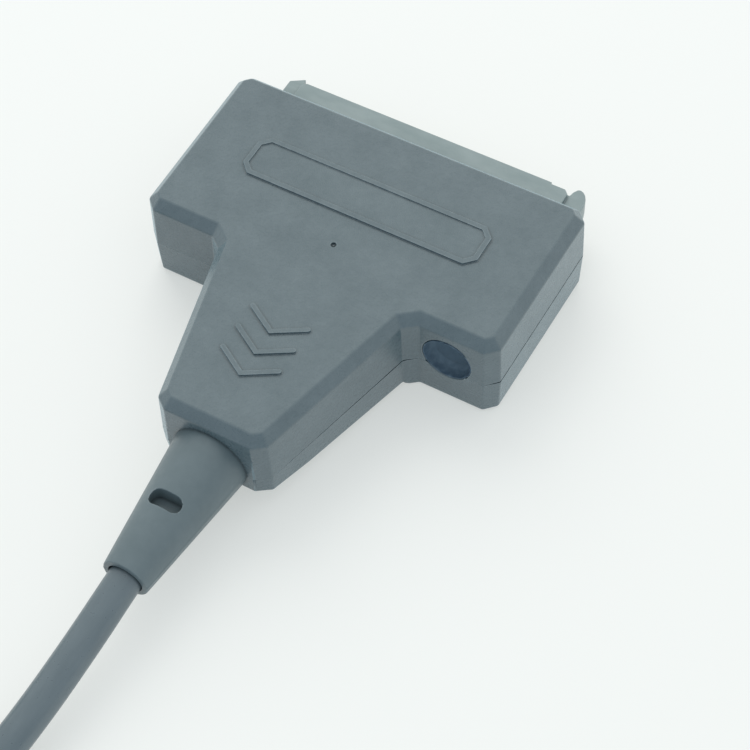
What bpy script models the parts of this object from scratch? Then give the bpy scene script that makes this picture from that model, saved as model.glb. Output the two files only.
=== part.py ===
"""USB to SATA adapter.

A T-shaped moulded casing in two halves. Its head holds a SATA receptacle at the back and a round
power socket in the right shoulder, and its tapered tail ends in a strain relief and a cable that
runs to a USB-A plug. Metres, +Z up, +Y out of the receptacle, the table at z = 0, and the origin
under the middle of the casing with its receptacle and strain relief.
"""

import math

import bmesh
import bpy
from mathutils import Matrix, Vector

MM = 0.001
GAP = 0.3 * MM  # between two pieces that touch

# Casing, seen from above
HEAD_SIDE_ROOM = 1.8 * MM  # from the receptacle's flange to the inner side walls
HEAD_TAPER = 0.35 * MM  # each side's lean inwards, from the back to the shoulders
HEAD_DEPTH = 25.0 * MM
TAIL_LENGTH = 24.2 * MM
TAIL_ROOT_WIDTH = 26.4 * MM
TAIL_END_WIDTH = 14.5 * MM
HEAD_CORNER_CUT = 1.55 * MM
INNER_CORNER_CUT = 1.25 * MM
TAIL_CORNER_CUT = 1.35 * MM

# Casing, seen from the side
HEIGHT = 13.5 * MM
PARTING_Z = 5.8 * MM
TOP_CHAMFER_WIDTH = 1.2 * MM
TOP_CHAMFER_HEIGHT = 1.4 * MM
FOOT_CHAMFER = 0.4 * MM
DRAFT = 0.18 * MM  # lean of the walls above and below the parting line
TAIL_STEP = 0.6 * MM  # from the shoulders to where the underside lifts
TAIL_LIFT_START = 0.8 * MM
TAIL_LIFT_MIDDLE = 2.05 * MM
TAIL_LIFT_END = 3.2 * MM
TAIL_LIFT_BEND = 17.0 * MM  # from the shoulders to where the underside steepens
WALL = 1.8 * MM
ROOF = 1.6 * MM
FLOOR = 1.6 * MM
LIP_THICKNESS = 0.75 * MM
LIP_HEIGHT = 1.1 * MM
RIB_THICKNESS = 1.0 * MM
RIB_FROM_SIDE = 4.0 * MM
RIB_FROM_REAR = 0.5 * MM
REST_LENGTH = 3.0 * MM
REST_WIDTH = 2.0 * MM

# Marks on the top
PLAQUE_FROM_BACK = 12.1 * MM
PLAQUE_LENGTH = 32.9 * MM
PLAQUE_WIDTH = 6.4 * MM
PLAQUE_CORNER_CUT = 1.35 * MM
PLAQUE_FLOOR_RISE = 0.08 * MM
PLAQUE_RIM = 0.7 * MM
RAISED = 0.27 * MM  # height of the plaque's rim and the chevrons
PLAQUE_TO_DOT = 7.8 * MM
DOT_RADIUS = 0.36 * MM
DOT_NUB_RADIUS = 0.12 * MM
DOT_DEPTH = 0.4 * MM
DOT_NUB_DROP = 0.2 * MM
CHEVRONS = 3
CHEVRON_FROM_SHOULDER = 9.65 * MM  # to the first tip
CHEVRON_PITCH = 3.35 * MM
CHEVRON_HALF_WIDTH = 3.8 * MM  # to the middles of its round ends
CHEVRON_RISE = 2.28 * MM
CHEVRON_WIDTH = 0.64 * MM
CHEVRON_END_STEPS = 4

# Receptacle
CONNECTOR_Z = 5.6 * MM
HOUSING_END = 2.2 * MM  # from a slot's end to the side
HOUSING_HEIGHT = 4.6 * MM
HOUSING_REACH = 5.55 * MM  # out of the back wall
HOUSING_STEP = 0.25 * MM  # the end of the front edge stands this far back
HOUSING_STEP_LENGTH = 2.6 * MM
HOUSING_CORNER = 0.6 * MM
HOUSING_INSIDE = 5.5 * MM  # behind the back wall's outer face
FLANGE_REACH = 1.8 * MM
FLANGE_THICKNESS = 1.8 * MM
EAR_REACH = 6.45 * MM
LEFT_EAR_WIDTH = 1.95 * MM
RIGHT_EAR_WIDTH = 2.5 * MM
EAR_RISE = 0.4 * MM  # of the ears' middle above the housing's
EAR_HEIGHT = 2.8 * MM
EAR_SLANT = 1.15 * MM  # length of the left ear's slanted end
EAR_ROUND = 2.6 * MM  # length of the right ear's round end
EAR_ROUND_STEPS = 5
EAR_PEAK = 1.0 * MM  # from the housing's side to the right ear's tip
EAR_NOTCH = 1.45 * MM  # depth of the notch beside the right ear's tip
EAR_EDGE = 0.15 * MM
SLOT_HEIGHT = 2.2 * MM
SLOT_DEPTH = 5.2 * MM
SLOT_WALL = 2.0 * MM
KEY_WIDTH = 1.2 * MM
KEY_DROP = 0.6 * MM
SIGNAL_SLOT = 11.4 * MM
POWER_SLOT = 21.4 * MM
SIGNAL_CONTACTS = 7
POWER_CONTACTS = 15
CONTACT_PITCH = 1.27 * MM
CONTACT_WIDTH = 0.75 * MM
CONTACT_THICKNESS = 0.25 * MM
CONTACT_TAIL = 2.4 * MM  # length on the board
CONTACT_BEND = 0.6 * MM
CONTACT_RECESS = 0.8 * MM  # of its tip in the slot
CONTACT_BOW = 0.2 * MM  # from the slot's middle down to the contact's crest

# Circuit board
BOARD_TOP_Z = 5.2 * MM
BOARD_THICKNESS = 1.0 * MM
BOARD_CLEARANCE = 0.7 * MM  # to the casing's inner walls
BOARD_TAIL_WIDTH = 12.0 * MM
BOARD_TAIL_LENGTH = 13.3 * MM  # past the shoulders
POST_RADIUS = 2.2 * MM
POST_FROM_EDGE = 0.9 * MM  # from the board's edge to a post
TAIL_POST_FROM_END = 6.0 * MM
PIN_RADIUS = 1.0 * MM
PIN_DEPTH = 0.6 * MM  # of a pin in its post

# Parts on the board: length along X, length along Y, height
PART_SPACING = 1.0 * MM
BRIDGE_CHIP = (7.0 * MM, 7.0 * MM, 1.0 * MM)
FLASH_CHIP = (4.9 * MM, 3.9 * MM, 1.4 * MM)
CRYSTAL = (3.2 * MM, 5.0 * MM, 1.1 * MM)
REGULATOR = (6.5 * MM, 3.5 * MM, 1.6 * MM)
INDUCTOR = (5.0 * MM, 5.0 * MM, 3.0 * MM)
LARGE_CAPACITOR = (4.0 * MM, 4.0 * MM, 5.4 * MM)
SMALL_CAPACITOR = (3.2 * MM, 3.2 * MM, 4.4 * MM)
CAN_EDGE = 0.3 * MM
CAN_GROOVE = 0.3 * MM
LEAD_WIDTH = 0.4 * MM
LEAD_THICKNESS = 0.2 * MM
LEAD_REACH = 1.0 * MM

# Power socket
JACK_Z = 7.8 * MM
JACK_WIDTH = 8.4 * MM
JACK_LENGTH = 11.4 * MM
JACK_BORE_RADIUS = 2.8 * MM
JACK_NOSE_RECESS = 0.4 * MM  # of the socket's round nose in the casing's hole
JACK_BORE_DEPTH = 9.0 * MM
JACK_BASE = 4.1 * MM  # from the axis down to the socket's underside
JACK_PIN_RADIUS = 1.05 * MM
JACK_PIN_RECESS = 0.6 * MM
JACK_CHANNEL_DEPTH = 0.65 * MM
JACK_LEAF_WIDTH = 1.6 * MM
JACK_HOLE_RADIUS = 3.3 * MM
JACK_LEG = 0.8 * MM
JACK_PIN_EDGE = 0.4 * MM
JACK_LEAF_FROM_MOUTH = 2.0 * MM
JACK_LEAF_BOW = 0.55 * MM
PAD_INSET = 0.8 * MM  # of the pad under the socket from its sides

# Strain relief and cable
RELIEF_Z = 6.3 * MM
RELIEF_LENGTH = 17.8 * MM
RELIEF_ROOT_RADIUS = 4.9 * MM
RELIEF_END_RADIUS = 2.95 * MM
RELIEF_EDGE = 0.35 * MM
NECK_RADIUS = 2.3 * MM
COLLAR_WIDTH = 8.4 * MM
COLLAR_THICKNESS = 1.8 * MM
COLLAR_RISE = 3.7 * MM  # above the axis
COLLAR_DROP = 1.5 * MM  # below the axis
WINDOW_FROM_ROOT = 8.7 * MM
WINDOW_CORNER = 0.6 * MM
WINDOW_LENGTH = 2.0 * MM
WINDOW_WIDTH = 4.1 * MM
WINDOW_FLOOR_RADIUS = 2.5 * MM
CABLE_RADIUS = 2.1 * MM
CABLE_STEP = 8.4 * MM
WIRES = 4
WIRE_RADIUS = 0.45 * MM
WIRE_PITCH_AT_COLLAR = 1.25 * MM
WIRE_PITCH_AT_BOARD = 2.4 * MM
WIRE_ON_BOARD = 1.6 * MM
WIRE_RISE = 0.6 * MM  # above the relief's axis, at its collar
WIRE_LEAD = 1.2 * MM
WIRE_HUMP = 1.2 * MM
WIRE_STEP = 1.1 * MM

# Cable's route past the strain relief: x, y from the relief's end, z
CABLE_ROUTE = [
    (0.0, -0.3, 6.2),
    (0.0, -2.7, 6.0),
    (-0.05, -6.7, 5.55),
    (-0.2, -11.1, 5.0),
    (-0.5, -16.2, 4.27),
    (-1.0, -21.2, 3.5),
    (-1.65, -25.0, 2.85),
    (-2.55, -28.4, 2.4),
    (-3.35, -31.3, 2.18),
    (-3.9, -34.3, 2.1),
]
COIL_RADIUS = 23.0 * MM  # at the middle of the turns
COIL_X = -27.0 * MM
COIL_FROM_RELIEF = 48.7 * MM
COIL_LEVELS = 2
CABLE_END_LENGTH = 6.3 * MM
CABLE_END_DROP = 1.1 * MM
CABLE_END_SAG = 0.15 * MM

# USB plug
PLUG_RELIEF_LENGTH = 8.0 * MM
PLUG_RELIEF_ROOT_RADIUS = 3.3 * MM
PLUG_RELIEF_END_RADIUS = 2.7 * MM
GRIP_WIDTH = 15.6 * MM
GRIP_HEIGHT = 7.9 * MM
GRIP_LENGTH = 22.0 * MM
GRIP_ROUNDING = 1.2 * MM
PLUG_WIDTH = 12.0 * MM
PLUG_HEIGHT = 4.5 * MM
PLUG_REACH = 12.0 * MM
PLUG_SEAT = 3.0 * MM  # of the metal shell in the grip
PLUG_SKIN = 0.3 * MM
PLUG_WINDOW = (2.5 * MM, 2.0 * MM)
PLUG_WINDOW_SPACING = 6.0 * MM
PLUG_WINDOW_FROM_TIP = 6.0 * MM
TONGUE_RECESS = 0.8 * MM
TONGUE_THICKNESS = 1.65 * MM
TONGUE_BASE = 3.6 * MM
USB_CONTACT_WIDTH = 1.0 * MM
USB_CONTACT_THICKNESS = 0.2 * MM
USB_CONTACT_FROM_TIP = 1.0 * MM
USB_CONTACT_X = (-3.5 * MM, -1.0 * MM, 1.0 * MM, 3.5 * MM)
USB_CONTACT_LENGTH = (7.4 * MM, 6.4 * MM, 6.4 * MM, 7.4 * MM)

PAST = 1.0 * MM  # how far a cutter runs past a face, or a joined piece into its carrier

# Sizes worked out from others
HOUSING_WIDTH = POWER_SLOT + SLOT_WALL + SIGNAL_SLOT + 2 * HOUSING_END
FLANGE_WIDTH = HOUSING_WIDTH + 2 * FLANGE_REACH
HEAD_WIDTH = FLANGE_WIDTH + 2 * (HEAD_SIDE_ROOM + WALL)

# Places worked out from the sizes
RELIEF_END = HEAD_DEPTH + TAIL_LENGTH + GAP + RELIEF_LENGTH
BACK_Y = (RELIEF_END - EAR_REACH) / 2
SHOULDER_Y = BACK_Y - HEAD_DEPTH
FRONT_Y = SHOULDER_Y - TAIL_LENGTH
RELIEF_END_Y = BACK_Y - RELIEF_END
SHOULDER_HALF = HEAD_WIDTH / 2 - HEAD_TAPER
ROOF_Z = HEIGHT - ROOF
BOARD_BOTTOM_Z = BOARD_TOP_Z - BOARD_THICKNESS
PART_Z = BOARD_TOP_Z + GAP  # underside of what sits on the board
BOARD_FRONT_Y = BACK_Y - HOUSING_INSIDE - GAP
JACK_X = SHOULDER_HALF - WALL - DRAFT - GAP - JACK_WIDTH / 2
JACK_FRONT_Y = SHOULDER_Y + WALL + GAP
JACK_REAR_Y = JACK_FRONT_Y + JACK_LENGTH
COIL_Y = RELIEF_END_Y - COIL_FROM_RELIEF
COIL_OUTER = COIL_RADIUS + CABLE_RADIUS
COIL_SIDE_Y = math.sqrt((COIL_OUTER + GAP) ** 2 - (COIL_RADIUS - CABLE_RADIUS) ** 2)
PLUG_X = COIL_X - COIL_RADIUS
PLUG_Z = GRIP_HEIGHT / 2
CABLE_END_Y = COIL_Y + COIL_SIDE_Y
PLUG_Y = CABLE_END_Y + CABLE_END_LENGTH + GAP
GRIP_Y = PLUG_Y + PLUG_RELIEF_LENGTH
GRIP_FRONT_Y = GRIP_Y + GRIP_LENGTH
PLUG_TIP_Y = GRIP_FRONT_Y + PLUG_REACH


# Scene and finishes


def empty_scene():
    for obj in list(bpy.data.objects):
        bpy.data.objects.remove(obj, do_unlink=True)


def new_collection(name):
    collection = bpy.data.collections.new(name)
    bpy.context.scene.collection.children.link(collection)
    return collection


empty_scene()
PARTS = new_collection("usb_to_sata_adapter")
CUTTERS = new_collection("cutters")
FINISHES = {
    "casing": ((0.17, 0.21, 0.23), 0.45, 0.0),
    "connector_plastic": ((0.33, 0.38, 0.38), 0.5, 0.0),
    "cable_plastic": ((0.15, 0.19, 0.22), 0.45, 0.0),
    "black_plastic": ((0.02, 0.02, 0.022), 0.5, 0.0),
    "board": ((0.02, 0.12, 0.05), 0.5, 0.0),
    "contact_metal": ((0.85, 0.62, 0.25), 0.3, 1.0),
    "plated_steel": ((0.6, 0.6, 0.6), 0.3, 1.0),
    "red_wire": ((0.5, 0.03, 0.02), 0.5, 0.0),
    "white_wire": ((0.7, 0.7, 0.68), 0.5, 0.0),
    "green_wire": ((0.03, 0.3, 0.08), 0.5, 0.0),
    "black_wire": ((0.02, 0.02, 0.02), 0.5, 0.0),
}


def finish(name):
    material = bpy.data.materials.get(name)
    if material is None:
        colour, roughness, metallic = FINISHES[name]
        material = bpy.data.materials.new(name)
        material.use_nodes = True
        shader = material.node_tree.nodes["Principled BSDF"]
        shader.inputs["Base Color"].default_value = (*colour, 1.0)
        shader.inputs["Roughness"].default_value = roughness
        shader.inputs["Metallic"].default_value = metallic
    return material


# Building blocks


def add_object(name, mesh, material=None):
    """A part with its finish, or a cutter if it has none."""
    obj = bpy.data.objects.new(name, mesh)
    if material is None:
        CUTTERS.objects.link(obj)
        obj.hide_render = True
        obj.display_type = "WIRE"
    else:
        PARTS.objects.link(obj)
        mesh.materials.append(finish(material))
    return obj


def mesh_from(bm, name):
    bmesh.ops.recalc_face_normals(bm, faces=bm.faces)
    mesh = bpy.data.meshes.new(name)
    bm.to_mesh(mesh)
    bm.free()
    return mesh


def box(name, low, high, material=None):
    bm = bmesh.new()
    size = [b - a for a, b in zip(low, high)]
    middle = [(a + b) / 2 for a, b in zip(low, high)]
    place = Matrix.Translation(middle) @ Matrix.Diagonal((*size, 1.0))
    bmesh.ops.create_cube(bm, size=1.0, matrix=place)
    return add_object(name, mesh_from(bm, name), material)


def rod(name, start, radius, length, axis, material=None, sides=24):
    """A cylinder from start, along +Y or +Z."""
    turn = Matrix.Rotation(-math.pi / 2, 4, "X") if axis == "Y" else Matrix.Identity(4)
    shift = Vector((0, length / 2, 0)) if axis == "Y" else Vector((0, 0, length / 2))
    place = Matrix.Translation(Vector(start) + shift) @ turn
    bm = bmesh.new()
    bmesh.ops.create_cone(
        bm, cap_ends=True, segments=sides, radius1=radius, radius2=radius, depth=length, matrix=place
    )
    return add_object(name, mesh_from(bm, name), material)


def mesh_of_curve(name, curve, material=None):
    """The closed mesh of a filled or bevelled curve, which is then removed."""
    source = bpy.data.objects.new(name + "_curve", curve)
    PARTS.objects.link(source)
    bpy.context.view_layer.update()
    graph = bpy.context.evaluated_depsgraph_get()
    mesh = bpy.data.meshes.new_from_object(source.evaluated_get(graph))
    bpy.data.objects.remove(source, do_unlink=True)
    mesh.name = name
    mesh.materials.clear()
    bm = bmesh.new()
    bm.from_mesh(mesh)
    bmesh.ops.remove_doubles(bm, verts=bm.verts, dist=0.001 * MM)
    bmesh.ops.recalc_face_normals(bm, faces=bm.faces)
    bm.to_mesh(mesh)
    bm.free()
    return add_object(name, mesh, material)


def plate(name, outline, start, thickness, axis="Z", material=None):
    """A flat outline, thick along Z, or along X where its points are (y, z)."""
    curve = bpy.data.curves.new(name, "CURVE")
    curve.dimensions = "2D"
    curve.fill_mode = "BOTH"
    curve.extrude = thickness / 2
    spline = curve.splines.new("POLY")
    spline.points.add(len(outline) - 1)
    for point, (u, v) in zip(spline.points, outline):
        point.co = (u, v, 0, 1)
    spline.use_cyclic_u = True
    obj = mesh_of_curve(name, curve, material)
    bm = bmesh.new()
    bm.from_mesh(obj.data)
    for side in (-1, 1):
        flat = [f for f in bm.faces if all(v.co.z * side > 0 for v in f.verts)]
        bmesh.ops.dissolve_faces(bm, faces=flat, use_verts=False)
    bm.to_mesh(obj.data)
    bm.free()
    place = Matrix.Translation((0, 0, start + thickness / 2))
    if axis == "X":
        lay = Matrix(((0, 0, 1, 0), (1, 0, 0, 0), (0, 1, 0, 0), (0, 0, 0, 1)))
        place = lay @ place
    obj.data.transform(place)
    return obj


def loft(name, rings, material=None):
    """A closed solid through rings of the same number of points, from the lowest to the highest."""
    bm = bmesh.new()
    loops = [[bm.verts.new(point) for point in ring] for ring in rings]
    for lower, upper in zip(loops, loops[1:]):
        for i, vert in enumerate(lower):
            after = (i + 1) % len(lower)
            bm.faces.new((vert, lower[after], upper[after], upper[i]))
    bm.faces.new(reversed(loops[0]))
    bm.faces.new(loops[-1])
    return add_object(name, mesh_from(bm, name), material)


def turned(name, profile, centre, axis, material=None, steps=32):
    """A profile of (radius, distance along the axis), listed down its outer side, turned about it."""
    bm = bmesh.new()
    closed = profile[0] == profile[-1]
    verts = [bm.verts.new((radius, 0, along)) for radius, along in profile[: -1 if closed else None]]
    for first, second in zip(verts, verts[1:] + (verts[:1] if closed else [])):
        bm.edges.new((first, second))
    mesh = bpy.data.meshes.new(name)
    bm.to_mesh(mesh)
    bm.free()
    obj = add_object(name, mesh, material)
    screw = obj.modifiers.new("turn", "SCREW")
    screw.axis = "Z"
    screw.steps = steps
    screw.render_steps = steps
    screw.use_merge_vertices = True
    screw.merge_threshold = 0.001 * MM
    if axis == "Y":
        obj.rotation_euler = (-math.pi / 2, 0, 0)
    obj.location = centre
    return obj


def tube(name, points, radius, material=None, resolution=2):
    """A round bar along a list of points."""
    curve = bpy.data.curves.new(name, "CURVE")
    curve.dimensions = "3D"
    curve.bevel_depth = radius
    curve.bevel_resolution = resolution
    curve.use_fill_caps = True
    spline = curve.splines.new("POLY")
    spline.points.add(len(points) - 1)
    for point, place in zip(spline.points, points):
        point.co = (*place, 1)
    return mesh_of_curve(name, curve, material)


def combine(obj, other, operation):
    step = obj.modifiers.new(other.name, "BOOLEAN")
    step.operation = operation
    step.solver = "EXACT"
    step.object = other


def cut(obj, *cutters):
    for cutter in cutters:
        combine(obj, cutter, "DIFFERENCE")


def join(obj, *others):
    for other in others:
        combine(obj, other, "UNION")


def round_edges(obj, width, segments=2):
    bevel = obj.modifiers.new("rounded edges", "BEVEL")
    bevel.width = width
    bevel.segments = segments
    bevel.limit_method = "ANGLE"
    bevel.angle_limit = math.radians(40)


def smooth_route(points, step):
    """Points about one step apart on a smooth curve through the given points."""
    places = [Vector(p) for p in points]
    ends = [2 * places[0] - places[1]] + places + [2 * places[-1] - places[-2]]
    fine = []
    for a, b, c, d in zip(ends, ends[1:], ends[2:], ends[3:]):
        for k in range(8):
            t = k / 8
            cubic = (3 * (b - c) + d - a) * t**3 + (2 * a - 5 * b + 4 * c - d) * t**2
            fine.append((cubic + (c - a) * t + 2 * b) / 2)
    fine.append(places[-1])
    lengths = [(q - p).length for p, q in zip(fine, fine[1:])]
    count = max(2, round(sum(lengths) / step))
    chosen = [fine[0]]
    travelled = 0.0
    for length, point in zip(lengths, fine[1:]):
        travelled += length
        if travelled >= sum(lengths) * len(chosen) / count - 1e-9:
            chosen.append(point)
    chosen[-1] = fine[-1]
    return chosen


# Casing outline


def casing_corners():
    half = HEAD_WIDTH / 2
    root = TAIL_ROOT_WIDTH / 2
    end = TAIL_END_WIDTH / 2
    right = [(end, FRONT_Y), (root, SHOULDER_Y), (SHOULDER_HALF, SHOULDER_Y), (half, BACK_Y)]
    return [(-x, y) for x, y in reversed(right)] + right


def cut_corners(corners, cuts):
    """Each corner becomes a short straight edge that leaves its sides one cut from the corner."""
    points = []
    for i, size in enumerate(cuts):
        here = Vector(corners[i])
        before = Vector(corners[i - 1])
        after = Vector(corners[(i + 1) % len(corners)])
        points.append(here + (before - here).normalized() * size)
        points.append(here + (after - here).normalized() * size)
    return points


def inset_outline(points, inset):
    """Every side of an anticlockwise outline moved inwards by the inset."""
    moved = []
    for i, here in enumerate(points):
        into = (here - points[i - 1]).normalized()
        out = (points[(i + 1) % len(points)] - here).normalized()
        n1 = Vector((-into.y, into.x))
        n2 = Vector((-out.y, out.x))
        moved.append(here + (n1 + n2) * (inset / (1 + n1.dot(n2))))
    return moved


def casing_ring(z, inset):
    cuts = [HEAD_CORNER_CUT, HEAD_CORNER_CUT, INNER_CORNER_CUT, TAIL_CORNER_CUT]
    points = cut_corners(casing_corners(), cuts + cuts[::-1])
    return [(p.x, p.y, z) for p in inset_outline(points, inset)]


def underside_rise(distance):
    """Height of the tail's underside at a distance in front of the shoulders."""
    if distance < TAIL_LIFT_BEND:
        share = distance / TAIL_LIFT_BEND
        return TAIL_LIFT_START + (TAIL_LIFT_MIDDLE - TAIL_LIFT_START) * share
    share = (distance - TAIL_LIFT_BEND) / (TAIL_LENGTH - TAIL_LIFT_BEND)
    return TAIL_LIFT_MIDDLE + (TAIL_LIFT_END - TAIL_LIFT_MIDDLE) * share


def underside_wedge(name, thickness):
    """What is taken from under the tail, moved up and back by a wall's thickness."""
    past = TAIL_LENGTH + 2 * PAST
    start = TAIL_STEP - thickness
    stations = [start, TAIL_LIFT_BEND, past]
    line = [(SHOULDER_Y - s, underside_rise(max(s, 0)) + thickness) for s in stations]
    outline = [(line[0][0], -PAST)] + line + [(line[-1][0], -PAST)]
    return plate(name, outline, -TAIL_ROOT_WIDTH, 2 * TAIL_ROOT_WIDTH, axis="X")


# Casing


def post_places():
    """Two posts behind the shoulders and one in the tail."""
    near = WALL + BOARD_CLEARANCE + POST_RADIUS
    left = -SHOULDER_HALF + near + POST_FROM_EDGE
    right = JACK_X - JACK_WIDTH / 2 - GAP - POST_RADIUS - POST_FROM_EDGE
    row = SHOULDER_Y + near + POST_FROM_EDGE
    tail = SHOULDER_Y - BOARD_TAIL_LENGTH + TAIL_POST_FROM_END
    return [(left, row), (right, row), (0.0, tail)]


def plaque_outline(inset):
    half_x = PLAQUE_LENGTH / 2
    half_y = PLAQUE_WIDTH / 2
    middle = BACK_Y - PLAQUE_FROM_BACK
    corners = [
        (-half_x, middle + half_y),
        (-half_x, middle - half_y),
        (half_x, middle - half_y),
        (half_x, middle + half_y),
    ]
    rim = cut_corners(corners, [PLAQUE_CORNER_CUT] * 4)
    return [(p.x, p.y) for p in inset_outline(rim, inset)]


def raised_plate(name, outline):
    """Something that stands out of the top by one common height."""
    low = HEIGHT - ROOF / 2
    return plate(name, outline, low, HEIGHT + RAISED - low)


def plaque_cutter():
    low = HEIGHT + PLAQUE_FLOOR_RISE
    return plate("plaque_cutter", plaque_outline(PLAQUE_RIM), low, RAISED - PLAQUE_FLOOR_RISE + PAST)


def chevron(index):
    """A rib with round ends, its tip towards the cable."""
    tip = Vector((0, SHOULDER_Y - CHEVRON_FROM_SHOULDER - index * CHEVRON_PITCH))
    end = tip + Vector((CHEVRON_HALF_WIDTH, CHEVRON_RISE))
    lean = math.atan2(CHEVRON_RISE, CHEVRON_HALF_WIDTH)
    half = CHEVRON_WIDTH / 2
    fold = Vector((0, half / math.cos(lean)))
    right = []
    for i in range(CHEVRON_END_STEPS + 1):
        angle = lean - math.pi / 2 + math.pi * i / CHEVRON_END_STEPS
        right.append(end + half * Vector((math.cos(angle), math.sin(angle))))
    left = [Vector((-p.x, p.y)) for p in reversed(right)]
    outline = [tip - fold, *right, tip + fold, *left]
    return raised_plate(f"chevron_{index + 1}", [(p.x, p.y) for p in outline])


def dot_cutter():
    y = BACK_Y - PLAQUE_FROM_BACK - PLAQUE_TO_DOT
    top = PAST
    profile = [
        (DOT_RADIUS, top),
        (DOT_RADIUS, -DOT_DEPTH),
        (DOT_NUB_RADIUS, -DOT_DEPTH),
        (DOT_NUB_RADIUS, -DOT_NUB_DROP),
        (0, -DOT_NUB_DROP),
        (0, top),
        (DOT_RADIUS, top),
    ]
    return turned("dot_cutter", profile, (0, y, HEIGHT), "Z", steps=16)


def openings(side):
    """Cutters for the receptacle, the power socket and the strain relief, for one half."""
    half_x = HOUSING_WIDTH / 2 + GAP
    half_z = HOUSING_HEIGHT / 2 + GAP
    window = box(
        f"receptacle_cutter_{side}",
        (-half_x, BACK_Y - WALL - PAST / 2, CONNECTOR_Z - half_z),
        (half_x, BACK_Y + PAST, CONNECTOR_Z + half_z),
    )
    socket = rod(
        f"socket_cutter_{side}",
        (JACK_X, SHOULDER_Y - PAST, JACK_Z),
        JACK_HOLE_RADIUS,
        WALL + PAST + GAP,
        "Y",
        sides=48,
    )
    neck = rod(
        f"neck_cutter_{side}",
        (0, FRONT_Y - PAST, RELIEF_Z),
        NECK_RADIUS + GAP,
        WALL + 2 * PAST,
        "Y",
    )
    return window, socket, neck


def rib_span():
    """The corners, seen from above, of the ribs that hold the receptacle down and up."""
    x = HOUSING_WIDTH / 2 - RIB_FROM_SIDE
    y = BACK_Y - HOUSING_INSIDE + RIB_FROM_REAR
    return (-x, y), (x, y + RIB_THICKNESS)


def make_top_shell():
    low = PARTING_Z + GAP / 2
    edge = HEIGHT - TOP_CHAMFER_HEIGHT
    rings = [
        casing_ring(low, 0.0),
        casing_ring(edge, DRAFT),
        casing_ring(HEIGHT, DRAFT + TOP_CHAMFER_WIDTH),
    ]
    shell = loft("top_shell", rings, "casing")
    below = PARTING_Z - PAST
    hollow = [casing_ring(below, WALL), casing_ring(ROOF_Z, WALL + DRAFT)]
    rebate_inset = WALL - LIP_THICKNESS - GAP
    rebate_top = PARTING_Z + LIP_HEIGHT + GAP
    rebate = [casing_ring(below, rebate_inset), casing_ring(rebate_top, rebate_inset)]
    cut(shell, loft("top_hollow_cutter", hollow), loft("top_rebate_cutter", rebate))
    for i, (x, y) in enumerate(post_places()):
        low_z = BOARD_BOTTOM_Z - GAP - PIN_DEPTH
        length = ROOF_Z + ROOF / 2 - low_z
        join(shell, rod(f"top_pin_{i + 1}", (x, y, low_z), PIN_RADIUS, length, "Z"))
    low, high = rib_span()
    rib_z = CONNECTOR_Z + HOUSING_HEIGHT / 2 + GAP
    join(shell, box("top_rib", (*low, rib_z), (*high, ROOF_Z + ROOF / 2)))
    cut(shell, *openings("top"), dot_cutter())
    join(shell, raised_plate("plaque", plaque_outline(0.0)))
    cut(shell, plaque_cutter())
    join(shell, *[chevron(i) for i in range(CHEVRONS)])
    return shell


def make_bottom_shell():
    high = PARTING_Z - GAP / 2
    rings = [
        casing_ring(0.0, DRAFT + FOOT_CHAMFER),
        casing_ring(FOOT_CHAMFER, DRAFT),
        casing_ring(high, 0.0),
    ]
    shell = loft("bottom_shell", rings, "casing")
    lip_inset = WALL - LIP_THICKNESS
    lip_top = PARTING_Z + LIP_HEIGHT
    lip = [casing_ring(high - PAST, lip_inset), casing_ring(lip_top, lip_inset)]
    join(shell, loft("lip", lip))
    hollow = [casing_ring(FLOOR, WALL + DRAFT), casing_ring(lip_top + PAST, WALL)]
    cavity = loft("bottom_hollow_cutter", hollow)
    cut(cavity, underside_wedge("tail_floor", FLOOR))
    cut(shell, cavity, underside_wedge("tail_underside", 0.0))
    post_top = BOARD_BOTTOM_Z - GAP
    low_z = FLOOR / 2
    for i, (x, y) in enumerate(post_places()):
        distance = SHOULDER_Y - y
        foot = low_z + (underside_rise(distance) if distance > 0 else 0.0)
        join(shell, rod(f"post_{i + 1}", (x, y, foot), POST_RADIUS, post_top - foot, "Z"))
        hole_z = post_top - PIN_DEPTH - GAP
        hole = rod(f"post_hole_{i + 1}", (x, y, hole_z), PIN_RADIUS + GAP, 2 * PAST, "Z")
        cut(shell, hole)
    rest_x = HOUSING_WIDTH / 2
    rest_y = BOARD_FRONT_Y - 2 * REST_WIDTH
    for i, x in enumerate((-rest_x, rest_x)):
        low = (x - REST_LENGTH / 2, rest_y, low_z)
        high = (x + REST_LENGTH / 2, rest_y + REST_WIDTH, post_top)
        join(shell, box(f"board_rest_{i + 1}", low, high))
    pad_top = JACK_Z - JACK_BASE - GAP
    pad_half = JACK_WIDTH / 2 - PAD_INSET
    pad_low = (JACK_X - pad_half, JACK_FRONT_Y + PAD_INSET, low_z)
    pad_high = (JACK_X + pad_half, JACK_REAR_Y - PAD_INSET, pad_top)
    join(shell, box("socket_pad", pad_low, pad_high))
    rib_top = CONNECTOR_Z - HOUSING_HEIGHT / 2 - GAP
    low, high = rib_span()
    join(shell, box("bottom_rib", (*low, low_z), (*high, rib_top)))
    cut(shell, *openings("bottom"))
    return shell


# Receptacle


def slot_places():
    """The left and right ends of the power and the signal slot."""
    span = POWER_SLOT + SLOT_WALL + SIGNAL_SLOT
    left = -span / 2
    return (left, left + POWER_SLOT), (left + POWER_SLOT + SLOT_WALL, left + span)


def contact_places(slot, count):
    middle = (slot[0] + slot[1]) / 2
    return [middle + (i - (count - 1) / 2) * CONTACT_PITCH for i in range(count)]


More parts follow.
